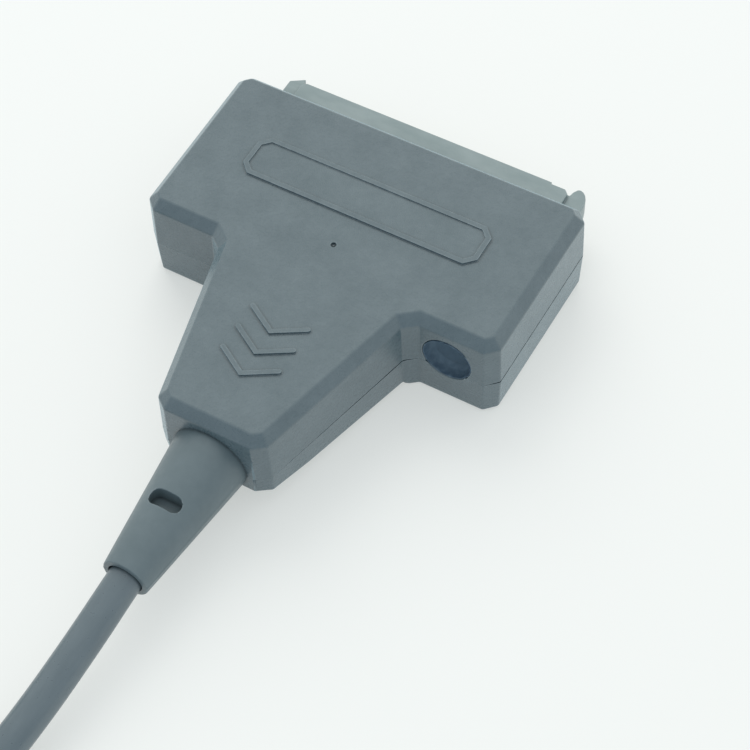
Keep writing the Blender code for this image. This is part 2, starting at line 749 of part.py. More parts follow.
def ear_outline(side):
    """An end post from above: slanted on the left, and rounded with a notch on the right."""
    wall = HOUSING_WIDTH / 2
    root = wall - HOUSING_CORNER
    tip_y = BACK_Y + EAR_REACH
    seat_y = BACK_Y + HOUSING_REACH - EAR_EDGE
    if side < 0:
        outer = wall + LEFT_EAR_WIDTH
        end = [(outer, tip_y - EAR_SLANT), (wall + EAR_EDGE, tip_y), (wall - EAR_EDGE, seat_y)]
        end.append((root, seat_y))
    else:
        outer = wall + RIGHT_EAR_WIDTH
        end = []
        for i in range(EAR_ROUND_STEPS + 1):
            angle = math.radians(90 * i / EAR_ROUND_STEPS)
            across = (outer - wall - EAR_PEAK) * math.cos(angle)
            end.append((wall + EAR_PEAK + across, tip_y - EAR_ROUND * (1 - math.sin(angle))))
        end.append((wall + EAR_PEAK * 2 / 3, tip_y - EAR_EDGE))
        end.append((wall + EAR_PEAK / 3, tip_y - EAR_NOTCH / 2))
        end.append((wall + EAR_EDGE, tip_y - EAR_NOTCH))
        end.append((root, tip_y - EAR_NOTCH))
    points = [(root, BACK_Y + GAP), (outer, BACK_Y + GAP), *end]
    if side > 0:
        return points
    return [(-x, y) for x, y in reversed(points)]


def make_sata_housing():
    half = HOUSING_WIDTH / 2
    flange = FLANGE_WIDTH / 2
    front = BACK_Y + HOUSING_REACH
    rear = BACK_Y - HOUSING_INSIDE
    flange_front = BACK_Y - WALL - GAP
    flange_rear = flange_front - FLANGE_THICKNESS
    step = half - HOUSING_STEP_LENGTH
    outline = [
        (-half, rear),
        (half, rear),
        (half, flange_rear),
        (flange, flange_rear),
        (flange, flange_front),
        (half, flange_front),
        (half, front - HOUSING_STEP - HOUSING_CORNER),
        (half - HOUSING_CORNER, front - HOUSING_STEP),
        (step, front - HOUSING_STEP),
        (step, front),
        (-half + HOUSING_CORNER, front),
        (-half, front - HOUSING_CORNER),
        (-half, flange_front),
        (-flange, flange_front),
        (-flange, flange_rear),
        (-half, flange_rear),
    ]
    low = CONNECTOR_Z - HOUSING_HEIGHT / 2
    housing = plate("sata_housing", outline, low, HOUSING_HEIGHT, material="connector_plastic")
    ear_low = CONNECTOR_Z + EAR_RISE - EAR_HEIGHT / 2
    for side, name in ((-1, "left_ear"), (1, "right_ear")):
        join(housing, plate(name, ear_outline(side), ear_low, EAR_HEIGHT))
    back = front - SLOT_DEPTH
    slot_low = CONNECTOR_Z - SLOT_HEIGHT / 2
    slot_high = CONNECTOR_Z + SLOT_HEIGHT / 2
    window_low = PART_Z - GAP
    window_high = PART_Z + CONTACT_THICKNESS + GAP
    counts = (POWER_CONTACTS, SIGNAL_CONTACTS)
    for name, slot, count in zip(("power", "signal"), slot_places(), counts):
        key_at_left = name == "power"
        key_x = slot[0] if key_at_left else slot[1] - KEY_WIDTH
        edge = CONTACT_WIDTH / 2 + GAP
        places = contact_places(slot, count)
        cut(
            housing,
            box(f"{name}_slot_cutter", (slot[0], back, slot_low), (slot[1], front + PAST, slot_high)),
            box(
                f"{name}_key_cutter",
                (key_x, back, slot_low - KEY_DROP),
                (key_x + KEY_WIDTH, front + PAST, CONNECTOR_Z),
            ),
            box(
                f"{name}_window_cutter",
                (places[0] - edge, rear - PAST, window_low),
                (places[-1] + edge, back + PAST, window_high),
            ),
        )
    return housing


def contact_outline():
    """Side view of a spring contact: on the board, through the rear wall, then bowed in the slot."""
    front = BACK_Y + HOUSING_REACH
    back = front - SLOT_DEPTH
    low = CONNECTOR_Z - SLOT_HEIGHT / 2 + GAP
    half = CONTACT_THICKNESS / 2
    middle = [
        (BOARD_FRONT_Y - CONTACT_TAIL, PART_Z + half),
        (back + CONTACT_BEND, PART_Z + half),
        (back + 2 * CONTACT_BEND, low + half),
        (back + 4 * CONTACT_BEND, low + half),
        (front - 2 * CONTACT_RECESS, CONNECTOR_Z - CONTACT_BOW),
        (front - CONTACT_RECESS, low + half),
    ]
    return [(y, z - half) for y, z in middle] + [(y, z + half) for y, z in reversed(middle)]


def make_sata_contacts():
    names = ("sata_power_contact", "sata_signal_contact")
    counts = (POWER_CONTACTS, SIGNAL_CONTACTS)
    for name, slot, count in zip(names, slot_places(), counts):
        for i, x in enumerate(contact_places(slot, count)):
            start = x - CONTACT_WIDTH / 2
            outline = contact_outline()
            plate(f"{name}_{i + 1}", outline, start, CONTACT_WIDTH, "X", "contact_metal")


# Circuit board and what sits on it


def make_circuit_board():
    half = SHOULDER_HALF - WALL - DRAFT - BOARD_CLEARANCE
    low = SHOULDER_Y + WALL + BOARD_CLEARANCE
    notch_x = JACK_X - JACK_WIDTH / 2 - GAP
    notch_y = JACK_REAR_Y + GAP
    tail = BOARD_TAIL_WIDTH / 2
    end = SHOULDER_Y - BOARD_TAIL_LENGTH
    outline = [
        (-half, low),
        (-tail, low),
        (-tail, end),
        (tail, end),
        (tail, low),
        (notch_x, low),
        (notch_x, notch_y),
        (half, notch_y),
        (half, BOARD_FRONT_Y),
        (-half, BOARD_FRONT_Y),
    ]
    board = plate("circuit_board", outline, BOARD_BOTTOM_Z, BOARD_THICKNESS, material="board")
    for i, (x, y) in enumerate(post_places()):
        start = (x, y, BOARD_BOTTOM_Z - PAST)
        length = BOARD_THICKNESS + 2 * PAST
        cut(board, rod(f"board_hole_{i + 1}", start, PIN_RADIUS + GAP, length, "Z"))


def make_chip(name, x, y, size, leads=0, material="black_plastic"):
    """A chip's body, with a row of leads along its two long sides where it has them."""
    half_x, half_y, height = size[0] / 2, size[1] / 2, size[2]
    low = (x - half_x, y - half_y, PART_Z)
    chip = box(name, low, (x + half_x, y + half_y, PART_Z + height), material)
    for i in range(leads):
        lead_x = x + (i - (leads - 1) / 2) * CONTACT_PITCH
        join(
            chip,
            box(
                f"{name}_lead_{i + 1}",
                (lead_x - LEAD_WIDTH / 2, y - half_y - LEAD_REACH, PART_Z),
                (lead_x + LEAD_WIDTH / 2, y + half_y + LEAD_REACH, PART_Z + LEAD_THICKNESS),
            ),
        )


def make_can(name, x, y, size):
    """A surface-mounted capacitor's can, with its groove."""
    radius, height = size[0] / 2, size[2]
    waist = height / 3
    profile = [
        (0, height),
        (radius - CAN_EDGE, height),
        (radius, height - CAN_EDGE),
        (radius, waist + CAN_GROOVE),
        (radius - CAN_GROOVE, waist),
        (radius, waist - CAN_GROOVE),
        (radius, 0),
        (0, 0),
    ]
    turned(name, profile, (x, y, PART_Z), "Z", "plated_steel", steps=20)


def make_row(parts, middle_x, y):
    """Board parts in a row along X, PART_SPACING apart: (maker, name, size, further words)."""
    span = sum(size[0] for _, _, size, _ in parts) + PART_SPACING * (len(parts) - 1)
    x = middle_x - span / 2
    for make, name, size, words in parts:
        make(name, x + size[0] / 2, y, size, **words)
        x += size[0] + PART_SPACING


def make_board_parts():
    (left_post, _), (_, _), (_, tail_post) = post_places()
    left = left_post + PIN_RADIUS + GAP
    right = JACK_X - JACK_WIDTH / 2 - GAP
    row = BOARD_FRONT_Y - CONTACT_TAIL - PART_SPACING - BRIDGE_CHIP[1] / 2
    head_parts = [
        (make_chip, "flash_chip", FLASH_CHIP, {"leads": 4}),
        (make_chip, "crystal", CRYSTAL, {"material": "plated_steel"}),
        (make_chip, "bridge_chip", BRIDGE_CHIP, {}),
        (make_chip, "voltage_regulator", REGULATOR, {"leads": 3}),
        (make_can, "filter_capacitor_2", SMALL_CAPACITOR, {}),
    ]
    make_row(head_parts, (left + right) / 2, row)
    tail_parts = [
        (make_chip, "power_inductor", INDUCTOR, {}),
        (make_can, "filter_capacitor_1", LARGE_CAPACITOR, {}),
    ]
    tail_row = tail_post + PIN_RADIUS + PART_SPACING + INDUCTOR[1] / 2
    make_row(tail_parts, 0.0, tail_row)


# Power socket


def make_power_jack():
    half = JACK_WIDTH / 2
    low = (JACK_X - half, JACK_FRONT_Y, JACK_Z - JACK_BASE)
    high = (JACK_X + half, JACK_REAR_Y, ROOF_Z - GAP)
    body = box("power_jack_body", low, high, "black_plastic")
    mouth = SHOULDER_Y + JACK_NOSE_RECESS
    nose = rod(
        "jack_nose",
        (JACK_X, mouth, JACK_Z),
        JACK_HOLE_RADIUS - GAP,
        JACK_FRONT_Y + PAST - mouth,
        "Y",
        sides=32,
    )
    join(body, nose)
    bore = rod(
        "jack_bore_cutter",
        (JACK_X, mouth - PAST, JACK_Z),
        JACK_BORE_RADIUS,
        JACK_FRONT_Y + JACK_BORE_DEPTH + PAST - mouth,
        "Y",
        sides=32,
    )
    pin_hole = rod(
        "jack_pin_cutter",
        (JACK_X, JACK_FRONT_Y + JACK_BORE_DEPTH - PAST, JACK_Z),
        JACK_PIN_RADIUS + GAP,
        JACK_LENGTH - JACK_BORE_DEPTH + 2 * PAST,
        "Y",
        sides=20,
    )
    channel_x = JACK_X - JACK_BORE_RADIUS - JACK_CHANNEL_DEPTH
    half_leaf = JACK_LEAF_WIDTH / 2
    channel = box(
        "jack_channel_cutter",
        (channel_x, JACK_FRONT_Y + JACK_LEAF_FROM_MOUTH, JACK_Z - half_leaf - GAP),
        (JACK_X - JACK_BORE_RADIUS / 2, JACK_REAR_Y + PAST, JACK_Z + half_leaf + GAP),
    )
    cut(body, bore, pin_hole, channel)
    pin_start = JACK_FRONT_Y + JACK_PIN_RECESS
    pin_length = JACK_REAR_Y + GAP + JACK_LEG - pin_start
    profile = [
        (0, pin_length),
        (JACK_PIN_RADIUS, pin_length),
        (JACK_PIN_RADIUS, JACK_PIN_EDGE),
        (JACK_PIN_RADIUS - JACK_PIN_EDGE, 0),
        (0, 0),
    ]
    pin = turned("power_jack_pin", profile, (JACK_X, pin_start, JACK_Z), "Y", "plated_steel", 20)
    leg_y = JACK_REAR_Y + GAP
    leg_low = (JACK_X - half_leaf, leg_y, PART_Z)
    join(pin, box("pin_leg", leg_low, (JACK_X + half_leaf, leg_y + JACK_LEG, JACK_Z)))
    make_jack_sleeve(channel_x + GAP, half_leaf)


def make_jack_sleeve(leaf_x, half_leaf):
    """The outer contact: a leaf along the bore's side, bowed in, with a leg down to the board."""
    thick = CONTACT_THICKNESS
    start = JACK_FRONT_Y + JACK_LEAF_FROM_MOUTH + GAP
    end = JACK_REAR_Y + GAP + JACK_LEG
    bow = JACK_FRONT_Y + JACK_BORE_DEPTH / 2
    flat = (bow + JACK_REAR_Y) / 2
    inner = [(leaf_x, start), (leaf_x + JACK_LEAF_BOW, bow), (leaf_x, flat), (leaf_x, end)]
    outline = inner + [(x + thick, y) for x, y in reversed(inner)]
    low = JACK_Z - half_leaf
    sleeve = plate("power_jack_sleeve", outline, low, 2 * half_leaf, material="plated_steel")
    leg_low = (leaf_x, JACK_REAR_Y + GAP, PART_Z)
    join(sleeve, box("sleeve_leg", leg_low, (leaf_x + thick, end, JACK_Z)))


# Strain relief, wires and cable


def make_strain_relief():
    root = FRONT_Y - GAP
    neck = NECK_RADIUS
    inner = FRONT_Y + WALL + GAP + COLLAR_THICKNESS / 4
    end_radius = RELIEF_END_RADIUS
    root_radius = RELIEF_ROOT_RADIUS
    profile = [
        (0, inner - RELIEF_END_Y),
        (neck, inner - RELIEF_END_Y),
        (neck, root - RELIEF_END_Y),
        (root_radius - RELIEF_EDGE, root - RELIEF_END_Y),
        (root_radius, root - RELIEF_EDGE - RELIEF_END_Y),
        (end_radius, RELIEF_EDGE),
        (end_radius - RELIEF_EDGE, 0),
        (0, 0),
    ]
    relief = turned("strain_relief", profile, (0, RELIEF_END_Y, RELIEF_Z), "Y", "cable_plastic", 36)
    collar_y = FRONT_Y + WALL + GAP
    half = COLLAR_WIDTH / 2
    low = (-half, collar_y, RELIEF_Z - COLLAR_DROP)
    high = (half, collar_y + COLLAR_THICKNESS, RELIEF_Z + COLLAR_RISE)
    join(relief, box("relief_collar", low, high))
    middle = root - WINDOW_FROM_ROOT
    far = RELIEF_ROOT_RADIUS + PAST
    half_x = WINDOW_WIDTH / 2
    half_y = WINDOW_LENGTH / 2
    corners = [(-half_x, middle - half_y), (half_x, middle - half_y)]
    corners += [(half_x, middle + half_y), (-half_x, middle + half_y)]
    outline = [(p.x, p.y) for p in cut_corners(corners, [WINDOW_CORNER] * 4)]
    for name, low_z in (("top", WINDOW_FLOOR_RADIUS), ("bottom", -far)):
        depth = far - WINDOW_FLOOR_RADIUS
        cut(relief, plate(f"window_cutter_{name}", outline, RELIEF_Z + low_z, depth))


def make_wires():
    start_y = FRONT_Y + WALL + GAP + COLLAR_THICKNESS + GAP
    end_y = SHOULDER_Y - BOARD_TAIL_LENGTH + WIRE_ON_BOARD
    low = PART_Z + WIRE_RADIUS
    colours = ("red_wire", "white_wire", "green_wire", "black_wire")
    for i in range(WIRES):
        offset = i - (WIRES - 1) / 2
        near = offset * WIRE_PITCH_AT_COLLAR
        far = offset * WIRE_PITCH_AT_BOARD
        route = [
            (near, start_y, RELIEF_Z + WIRE_RISE),
            (near, start_y + WIRE_LEAD, RELIEF_Z + WIRE_RISE),
            ((near + far) / 2, (start_y + end_y) / 2, low + WIRE_HUMP),
            (far, end_y - WIRE_ON_BOARD, low),
            (far, end_y, low),
        ]
        points = smooth_route(route, WIRE_STEP)
        tube(f"signal_wire_{i + 1}", points, WIRE_RADIUS, colours[i], resolution=1)


def make_cable():
    route = [(x * MM, RELIEF_END_Y + y * MM, z * MM) for x, y, z in CABLE_ROUTE]
    points = smooth_route(route, CABLE_STEP)
    tube("cable", points, CABLE_RADIUS, "cable_plastic", resolution=3)
    start = Vector((PLUG_X, CABLE_END_Y, PLUG_Z + CABLE_END_DROP))
    end = Vector((PLUG_X, CABLE_END_Y + CABLE_END_LENGTH, PLUG_Z))
    middle = (start + end) / 2 - Vector((0, 0, CABLE_END_SAG))
    tube("cable_end", [start, middle, end], CABLE_RADIUS, "cable_plastic", resolution=3)


def make_cable_coil():
    """The wound length: one turn on another, as one ring."""
    top = (2 * COIL_LEVELS - 1) * CABLE_RADIUS
    outer = []
    for level, angles in ((top, (90, 60, 30, 0)), (CABLE_RADIUS, (0, -30, -60, -90))):
        for angle in angles:
            across = CABLE_RADIUS * math.cos(math.radians(angle))
            outer.append((COIL_RADIUS + across, level + CABLE_RADIUS * math.sin(math.radians(angle))))
    inner = [(2 * COIL_RADIUS - x, z) for x, z in reversed(outer[1:-1])]
    profile = outer + inner + [outer[0]]
    turned("cable_coil", profile, (COIL_X, COIL_Y, 0), "Z", "cable_plastic", steps=48)


# USB plug


def make_usb_plug():
    half = GRIP_WIDTH / 2
    grip = box(
        "usb_plug_grip",
        (PLUG_X - half, GRIP_Y, 0.0),
        (PLUG_X + half, GRIP_FRONT_Y, GRIP_HEIGHT),
        "cable_plastic",
    )
    round_edges(grip, GRIP_ROUNDING)
    relief_length = PLUG_RELIEF_LENGTH + PAST
    profile = [
        (0, relief_length),
        (PLUG_RELIEF_ROOT_RADIUS, relief_length),
        (PLUG_RELIEF_END_RADIUS, RELIEF_EDGE),
        (PLUG_RELIEF_END_RADIUS - RELIEF_EDGE, 0),
        (0, 0),
    ]
    join(grip, turned("plug_relief", profile, (PLUG_X, PLUG_Y, PLUG_Z), "Y", steps=24))
    half_x = PLUG_WIDTH / 2
    half_z = PLUG_HEIGHT / 2
    seat = GRIP_FRONT_Y - PLUG_SEAT
    cut(
        grip,
        box(
            "plug_seat_cutter",
            (PLUG_X - half_x - GAP, seat - GAP, PLUG_Z - half_z - GAP),
            (PLUG_X + half_x + GAP, GRIP_FRONT_Y + PAST, PLUG_Z + half_z + GAP),
        ),
    )
    low = (PLUG_X - half_x, seat, PLUG_Z - half_z)
    high = (PLUG_X + half_x, PLUG_TIP_Y, PLUG_Z + half_z)
    shell = box("usb_plug_shell", low, high, "plated_steel")
    hollow = box(
        "plug_hollow_cutter",
        (low[0] + PLUG_SKIN, seat - PAST, low[2] + PLUG_SKIN),
        (high[0] - PLUG_SKIN, PLUG_TIP_Y + PAST, high[2] - PLUG_SKIN),
    )
    cut(shell, hollow)
    across, along = PLUG_WINDOW
    for i, side in enumerate((-1, 1)):
        x = PLUG_X + side * PLUG_WINDOW_SPACING / 2
        y = PLUG_TIP_Y - PLUG_WINDOW_FROM_TIP
        window = box(
            f"plug_window_cutter_{i + 1}",
            (x - across / 2, y - along / 2, low[2] - PAST),
            (x + across / 2, y + along / 2, high[2] + PAST),
        )
        cut(shell, window)
    make_usb_tongue(seat)


def make_usb_tongue(seat):
    half_x = PLUG_WIDTH / 2 - PLUG_SKIN - GAP
    half_z = PLUG_HEIGHT / 2 - PLUG_SKIN - GAP
    face_z = PLUG_Z + half_z - TONGUE_THICKNESS
    tip_y = PLUG_TIP_Y - TONGUE_RECESS
    tongue = box(
        "usb_plug_tongue",
        (PLUG_X - half_x, seat, face_z),
        (PLUG_X + half_x, tip_y, PLUG_Z + half_z),
        "black_plastic",
    )
    base = box(
        "tongue_base",
        (PLUG_X - half_x, seat, PLUG_Z - half_z),
        (PLUG_X + half_x, seat + TONGUE_BASE, PLUG_Z),
    )
    join(tongue, base)
    groove = USB_CONTACT_WIDTH / 2 + GAP
    for i, (x, length) in enumerate(zip(USB_CONTACT_X, USB_CONTACT_LENGTH)):
        middle = PLUG_X + x
        end = tip_y - USB_CONTACT_FROM_TIP
        start = end - length
        roof = face_z + USB_CONTACT_THICKNESS + GAP
        cut(
            tongue,
            box(
                f"groove_cutter_{i + 1}",
                (middle - groove, start - GAP, face_z - PAST),
                (middle + groove, end + GAP, roof),
            ),
        )
        box(
            f"usb_contact_{i + 1}",
            (middle - USB_CONTACT_WIDTH / 2, start, face_z),
            (middle + USB_CONTACT_WIDTH / 2, end, face_z + USB_CONTACT_THICKNESS),
            "contact_metal",
        )


def smooth_round_pieces():
    for obj in PARTS.objects:
        if obj.type == "MESH":
            obj.data.shade_smooth()
            obj.data.set_sharp_from_angle(angle=math.radians(35))


make_top_shell()
make_bottom_shell()
make_sata_housing()
make_sata_contacts()
make_circuit_board()
make_board_parts()
make_power_jack()
make_strain_relief()
make_wires()
make_cable()
make_cable_coil()
make_usb_plug()
smooth_round_pieces()
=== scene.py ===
"""Looks for the drive adapter lead: a moulded two-part casing with a drive receptacle at its back, a
round power socket in one shoulder, a tapered strain relief and a short round lead with its plug.

Metres, +Z up, +Y out of the receptacle, the table at z = 0.
"""

import logging
import math
from dataclasses import dataclass, field
from enum import Enum

import bmesh
import bpy
from mathutils import Matrix, Vector
from mathutils.bvhtree import BVHTree


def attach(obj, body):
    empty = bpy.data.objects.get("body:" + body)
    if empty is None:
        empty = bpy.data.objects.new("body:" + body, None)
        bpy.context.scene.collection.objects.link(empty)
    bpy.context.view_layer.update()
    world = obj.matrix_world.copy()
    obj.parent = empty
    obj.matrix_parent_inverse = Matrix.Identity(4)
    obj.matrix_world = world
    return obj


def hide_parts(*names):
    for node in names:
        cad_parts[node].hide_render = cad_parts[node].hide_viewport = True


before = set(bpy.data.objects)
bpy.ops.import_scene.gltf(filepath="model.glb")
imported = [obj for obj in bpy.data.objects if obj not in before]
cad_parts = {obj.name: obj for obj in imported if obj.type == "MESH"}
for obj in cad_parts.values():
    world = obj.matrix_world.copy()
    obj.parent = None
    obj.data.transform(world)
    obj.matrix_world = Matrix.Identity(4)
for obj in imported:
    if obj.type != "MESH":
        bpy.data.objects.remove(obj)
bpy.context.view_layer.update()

MM = 0.001
BODY = "root"
RELIEF_END_Y = -36.875 * MM

# Limits for copying and rounding a CAD shape
SAME_POINT = 0.002 * MM
FLAT_ANGLE = 0.6  # degrees
SHORTEST_EDGE = 0.02 * MM
JUST_OUTSIDE = 0.03 * MM
LOOK_OUT = 60 * MM
ROUNDED_SHARE = 0.4

Point = tuple[float, float, float]
Colour = tuple[float, float, float]

log = logging.getLogger("adapter")


# Materials


class Graph:
    """A material's nodes, added one at a time round its shader."""

    def __init__(self, name: str) -> None:
        """Start a material.

        Args:
            name: the material's name.
        """
        self.material = bpy.data.materials.new(name)
        self.material.use_nodes = True
        self.tree = self.material.node_tree
        self.shader = self.tree.nodes["Principled BSDF"]
        self.place = self.add("ShaderNodeTexCoord").outputs["Object"]

    def add(self, kind: str, inputs: dict | None = None, **settings: object) -> bpy.types.Node:
        """Add a node.

        Args:
            kind: the node's type name.
            inputs: values or sockets for its inputs, by input name or number.
            settings: the node's own settings.

        Returns:
            The new node.
        """
        node = self.tree.nodes.new(kind)
        for key, value in settings.items():
            setattr(node, key, value)
        for key, value in (inputs or {}).items():
            self.feed(node.inputs[key], value)
        return node

    def feed(self, socket: bpy.types.NodeSocket, value: object) -> None:
        """Link a socket to the input, or set its number.

        Args:
            socket: the input.
            value: an output socket, a number or a colour.
        """
        if isinstance(value, bpy.types.NodeSocket):
            self.tree.links.new(value, socket)
        else:
            socket.default_value = value

    def surface(self, inputs: dict[str, object]) -> bpy.types.Material:
        """Feed the shader.

        Args:
            inputs: sockets, numbers or colours for its inputs, by name.

        Returns:
            The finished material.
        """
        for name, value in inputs.items():
            self.feed(self.shader.inputs[name], value)
        return self.material

    def noise(self, size: float, detail: float = 3.0, stretch: Point = (1, 1, 1)) -> bpy.types.NodeSocket:
        """Noise with features of about one size.

        Args:
            size: the features' size in metres.
            detail: levels of finer noise.
            stretch: how much longer the features are along each axis.

        Returns:
            The noise, from 0 to 1.
        """
        scale = tuple(1 / (size * s) for s in stretch)
        mapped = self.add("ShaderNodeMapping", {"Vector": self.place, "Scale": scale})
        inputs = {"Vector": mapped.outputs[0], "Scale": 1.0, "Detail": detail}
        return self.add("ShaderNodeTexNoise", inputs).outputs["Fac"]

    def cells(self, size: float) -> tuple[bpy.types.NodeSocket, bpy.types.NodeSocket]:
        """Scattered points.

        Args:
            size: their mean spacing in metres.

        Returns:
            The distance to the nearest point in spacings, and a random colour for each point.
        """
        node = self.add("ShaderNodeTexVoronoi", {"Vector": self.place, "Scale": 1 / size})
        return node.outputs["Distance"], node.outputs["Color"]

    def ramp(self, value: bpy.types.NodeSocket, low: float, high: float, start: float = 0.0,
             end: float = 1.0) -> bpy.types.NodeSocket:
        """Map low..high to start..end, held at both ends.

        Args:
            value: the number to map.
            low: where the range starts.
            high: where it ends.
            start: the result at low.
            end: the result at high.

        Returns:
            The mapped number.
        """
        inputs = {"Value": value, "From Min": low, "From Max": high, "To Min": start, "To Max": end}
        return self.add("ShaderNodeMapRange", inputs).outputs["Result"]

    def sum_of(self, first: object, second: object, kind: str = "ADD") -> bpy.types.NodeSocket:
        """Combine two numbers.

        Args:
            first: a socket or number.
            second: a socket or number.
            kind: the sum, such as ADD or SUBTRACT.

        Returns:
            The result.
        """
        return self.add("ShaderNodeMath", {0: first, 1: second}, operation=kind).outputs[0]

    def product(self, first: object, second: object) -> bpy.types.NodeSocket:
        """Multiply two sockets or numbers."""
        return self.sum_of(first, second, "MULTIPLY")

    def blend(self, share: bpy.types.NodeSocket, first: object, second: object) -> bpy.types.NodeSocket:
        """Blend two colours.

        Args:
            share: how much of the second.
            first: a colour or socket.
            second: a colour or socket.

        Returns:
            The blended colour.
        """
        node = self.add("ShaderNodeMix", {0: share}, data_type="RGBA")
        for number, value in ((6, first), (7, second)):
            colour = value if isinstance(value, bpy.types.NodeSocket) else (*value, 1.0)
            self.feed(node.inputs[number], colour)
        return node.outputs[2]

    def edges(self, radius: float) -> bpy.types.NodeSocket:
        """How near a point is to a sharp edge.

        Args:
            radius: how far from the edge it still counts, in metres.

        Returns:
            0 on open faces, up to 1 on edges.
        """
        rounded = self.add("ShaderNodeBevel", {"Radius": radius}, samples=4).outputs[0]
        plain = self.add("ShaderNodeNewGeometry").outputs["Normal"]
        dot = self.add("ShaderNodeVectorMath", {0: rounded, 1: plain}, operation="DOT_PRODUCT")
        return self.ramp(dot.outputs["Value"], 0.99, 0.86)

    def painted_shade_mask(self, reach: float) -> bpy.types.NodeSocket:
        """How deep in a crevice a point is, the mask for painted shade.

        Args:
            reach: how near the walls around it must be, in metres.

        Returns:
            0 in the open, up to 1 in a corner.
        """
        shade = self.add("ShaderNodeAmbientOcclusion", {"Distance": reach}, samples=6)
        return self.ramp(shade.outputs["AO"], 0.95, 0.6)

    def bump(self, height: bpy.types.NodeSocket, depth: float,
             under: bpy.types.NodeSocket | None = None) -> bpy.types.NodeSocket:
        """Relief that tilts the light.

        Args:
            height: the relief, from 0 to 1.
            depth: its depth in metres.
            under: a broader relief beneath it.

        Returns:
            The tilted normal.
        """
        inputs = {"Height": height, "Distance": depth, "Strength": 1.0}
        if under is not None:
            inputs["Normal"] = under
        return self.add("ShaderNodeBump", inputs).outputs["Normal"]


@dataclass(frozen=True)
class Moulding:
    """Moulded plastic or rubber: mould grain, slow colour drift, scuffs, pale worn edges that are partly
    a painted highlight, painted shade in crevices, and dust.
    """

    name: str
    colour: Colour
    pale: Colour
    roughness: float = 0.45
    gloss_size: float = 0.5 * MM
    grain: float = 0.22 * MM
    grain_depth: float = 0.008 * MM
    wave_depth: float = 0.02 * MM
    drift: float = 0.25
    cloud_size: float = 4 * MM
    mottle_size: float = 0.9 * MM
    flow: Point = (1, 1, 1)
    # Pale edges: partly wear, partly a painted highlight along the rounded edges
    edge_wear_and_highlight: float = 0.35
    edge_wear_and_highlight_reach: float = 0.25 * MM
    edge_wear_and_highlight_size: float = 0.7 * MM
    scuffs: float = 0.08
    scuff_size: float = 1.3 * MM
    scuff_stretch: Point = (6, 0.35, 1)
    dust: float = 0.0
    dust_colour: Colour = (0.75, 0.78, 0.78)
    dust_spacing: float = 2.6 * MM
    # Painted shade: how much darker the colour gets in crevices and corners
    painted_shade: float = 0.65
    painted_shade_reach: float = 0.4 * MM
    specular: float = 0.5
    sheen: float = 0.0
    sheen_tint: Colour = (1.0, 1.0, 1.0)

    def material(self) -> bpy.types.Material:
        """Build the finish.

        Returns:
            The material.
        """
        g = Graph(self.name)
        slow = g.ramp(g.noise(self.cloud_size, 4, self.flow), 0.3, 0.7)
        mottle = g.ramp(g.noise(self.mottle_size, 3, self.flow), 0.35, 0.75)
        lighter = tuple(c + self.drift * (p - c) for c, p in zip(self.colour, self.pale))
        colour = g.blend(g.sum_of(g.product(slow, 0.6), g.product(mottle, 0.4)), self.colour, lighter)
        scratch = g.ramp(g.noise(self.scuff_size, 5, self.scuff_stretch), 0.62, 0.8, 0.0, self.scuffs)
        scratch = g.product(scratch, 0.3)
        colour = g.blend(scratch, colour, self.pale)
        # Pale edges are partly real wear and partly a painted highlight where light catches the rounded
        # edges.
        ragged = g.ramp(g.noise(self.edge_wear_and_highlight_size, 4), 0.35, 0.6, 0.25, 1.0)
        worn_and_highlit = g.product(g.product(g.edges(self.edge_wear_and_highlight_reach), ragged), self.edge_wear_and_highlight)
        colour = g.blend(worn_and_highlit, colour, self.pale)
        # Painted shade: the colour darkens where the surface is occluded, in crevices, corners and at the
        # feet of walls.
        painted_shade_colour = tuple(0.4 * c for c in self.colour)
        colour = g.blend(g.product(g.painted_shade_mask(self.painted_shade_reach), self.painted_shade), colour, painted_shade_colour)
        if self.dust > 0:
            colour = g.blend(self.specks(g), colour, self.dust_colour)
        gloss = g.noise(self.gloss_size, 3)
        rough = g.ramp(gloss, 0.3, 0.7, self.roughness - 0.05, self.roughness + 0.06)
        rough = g.sum_of(g.sum_of(rough, scratch), g.product(worn_and_highlit, 0.2), "SUBTRACT")
        waves = g.bump(g.noise(self.cloud_size, 2), self.wave_depth)
        return g.surface({
            "Base Color": colour,
            "Roughness": rough,
            "Normal": g.bump(g.noise(self.grain, 2.5), self.grain_depth, waves),
            "Specular IOR Level": self.specular,
            "Sheen Weight": self.sheen,
            "Sheen Roughness": 0.3,
            "Sheen Tint": (*self.sheen_tint, 1.0),
        })

    def specks(self, g: Graph) -> bpy.types.NodeSocket:
        """Scattered pale dust, one speck in a few cells.

        Args:
            g: the material's nodes.

        Returns:
            1 on a speck and 0 elsewhere.
        """
        near, tint = g.cells(self.dust_spacing)
        chance = g.add("ShaderNodeSeparateColor", {"Color": tint}).outputs[0]
        chosen = g.ramp(chance, 1 - self.dust, 1 - self.dust + 0.01)
        return g.product(g.ramp(near, 0.055, 0.03), chosen)


@dataclass(frozen=True)
class Metal:
    """Plated metal: fine rolling lines along one axis, cloudy tarnish and brighter rubbed edges."""

    name: str
    colour: Colour
    tarnish: Colour
    roughness: float = 0.25
    lines: Point = (1, 18, 1)
    line_width: float = 0.05 * MM
    line_depth: float = 0.002 * MM
    cloud_size: float = 1.6 * MM
    rub_reach: float = 0.12 * MM

    def material(self) -> bpy.types.Material:
        """Build the finish.

        Returns:
            The material.
        """
        g = Graph(self.name)
        cloud = g.ramp(g.noise(self.cloud_size, 4), 0.35, 0.8, 0.0, 0.6)
        colour = g.blend(cloud, self.colour, self.tarnish)
        bright = tuple(min(1.0, c * 1.2) for c in self.colour)
        rolled = g.noise(self.line_width, 3, self.lines)
        return g.surface({
            "Base Color": g.blend(g.product(g.edges(self.rub_reach), 0.6), colour, bright),
            "Roughness": g.ramp(rolled, 0.3, 0.75, self.roughness, self.roughness + 0.18),
            "Normal": g.bump(rolled, self.line_depth),
            "Metallic": 1.0,
        })


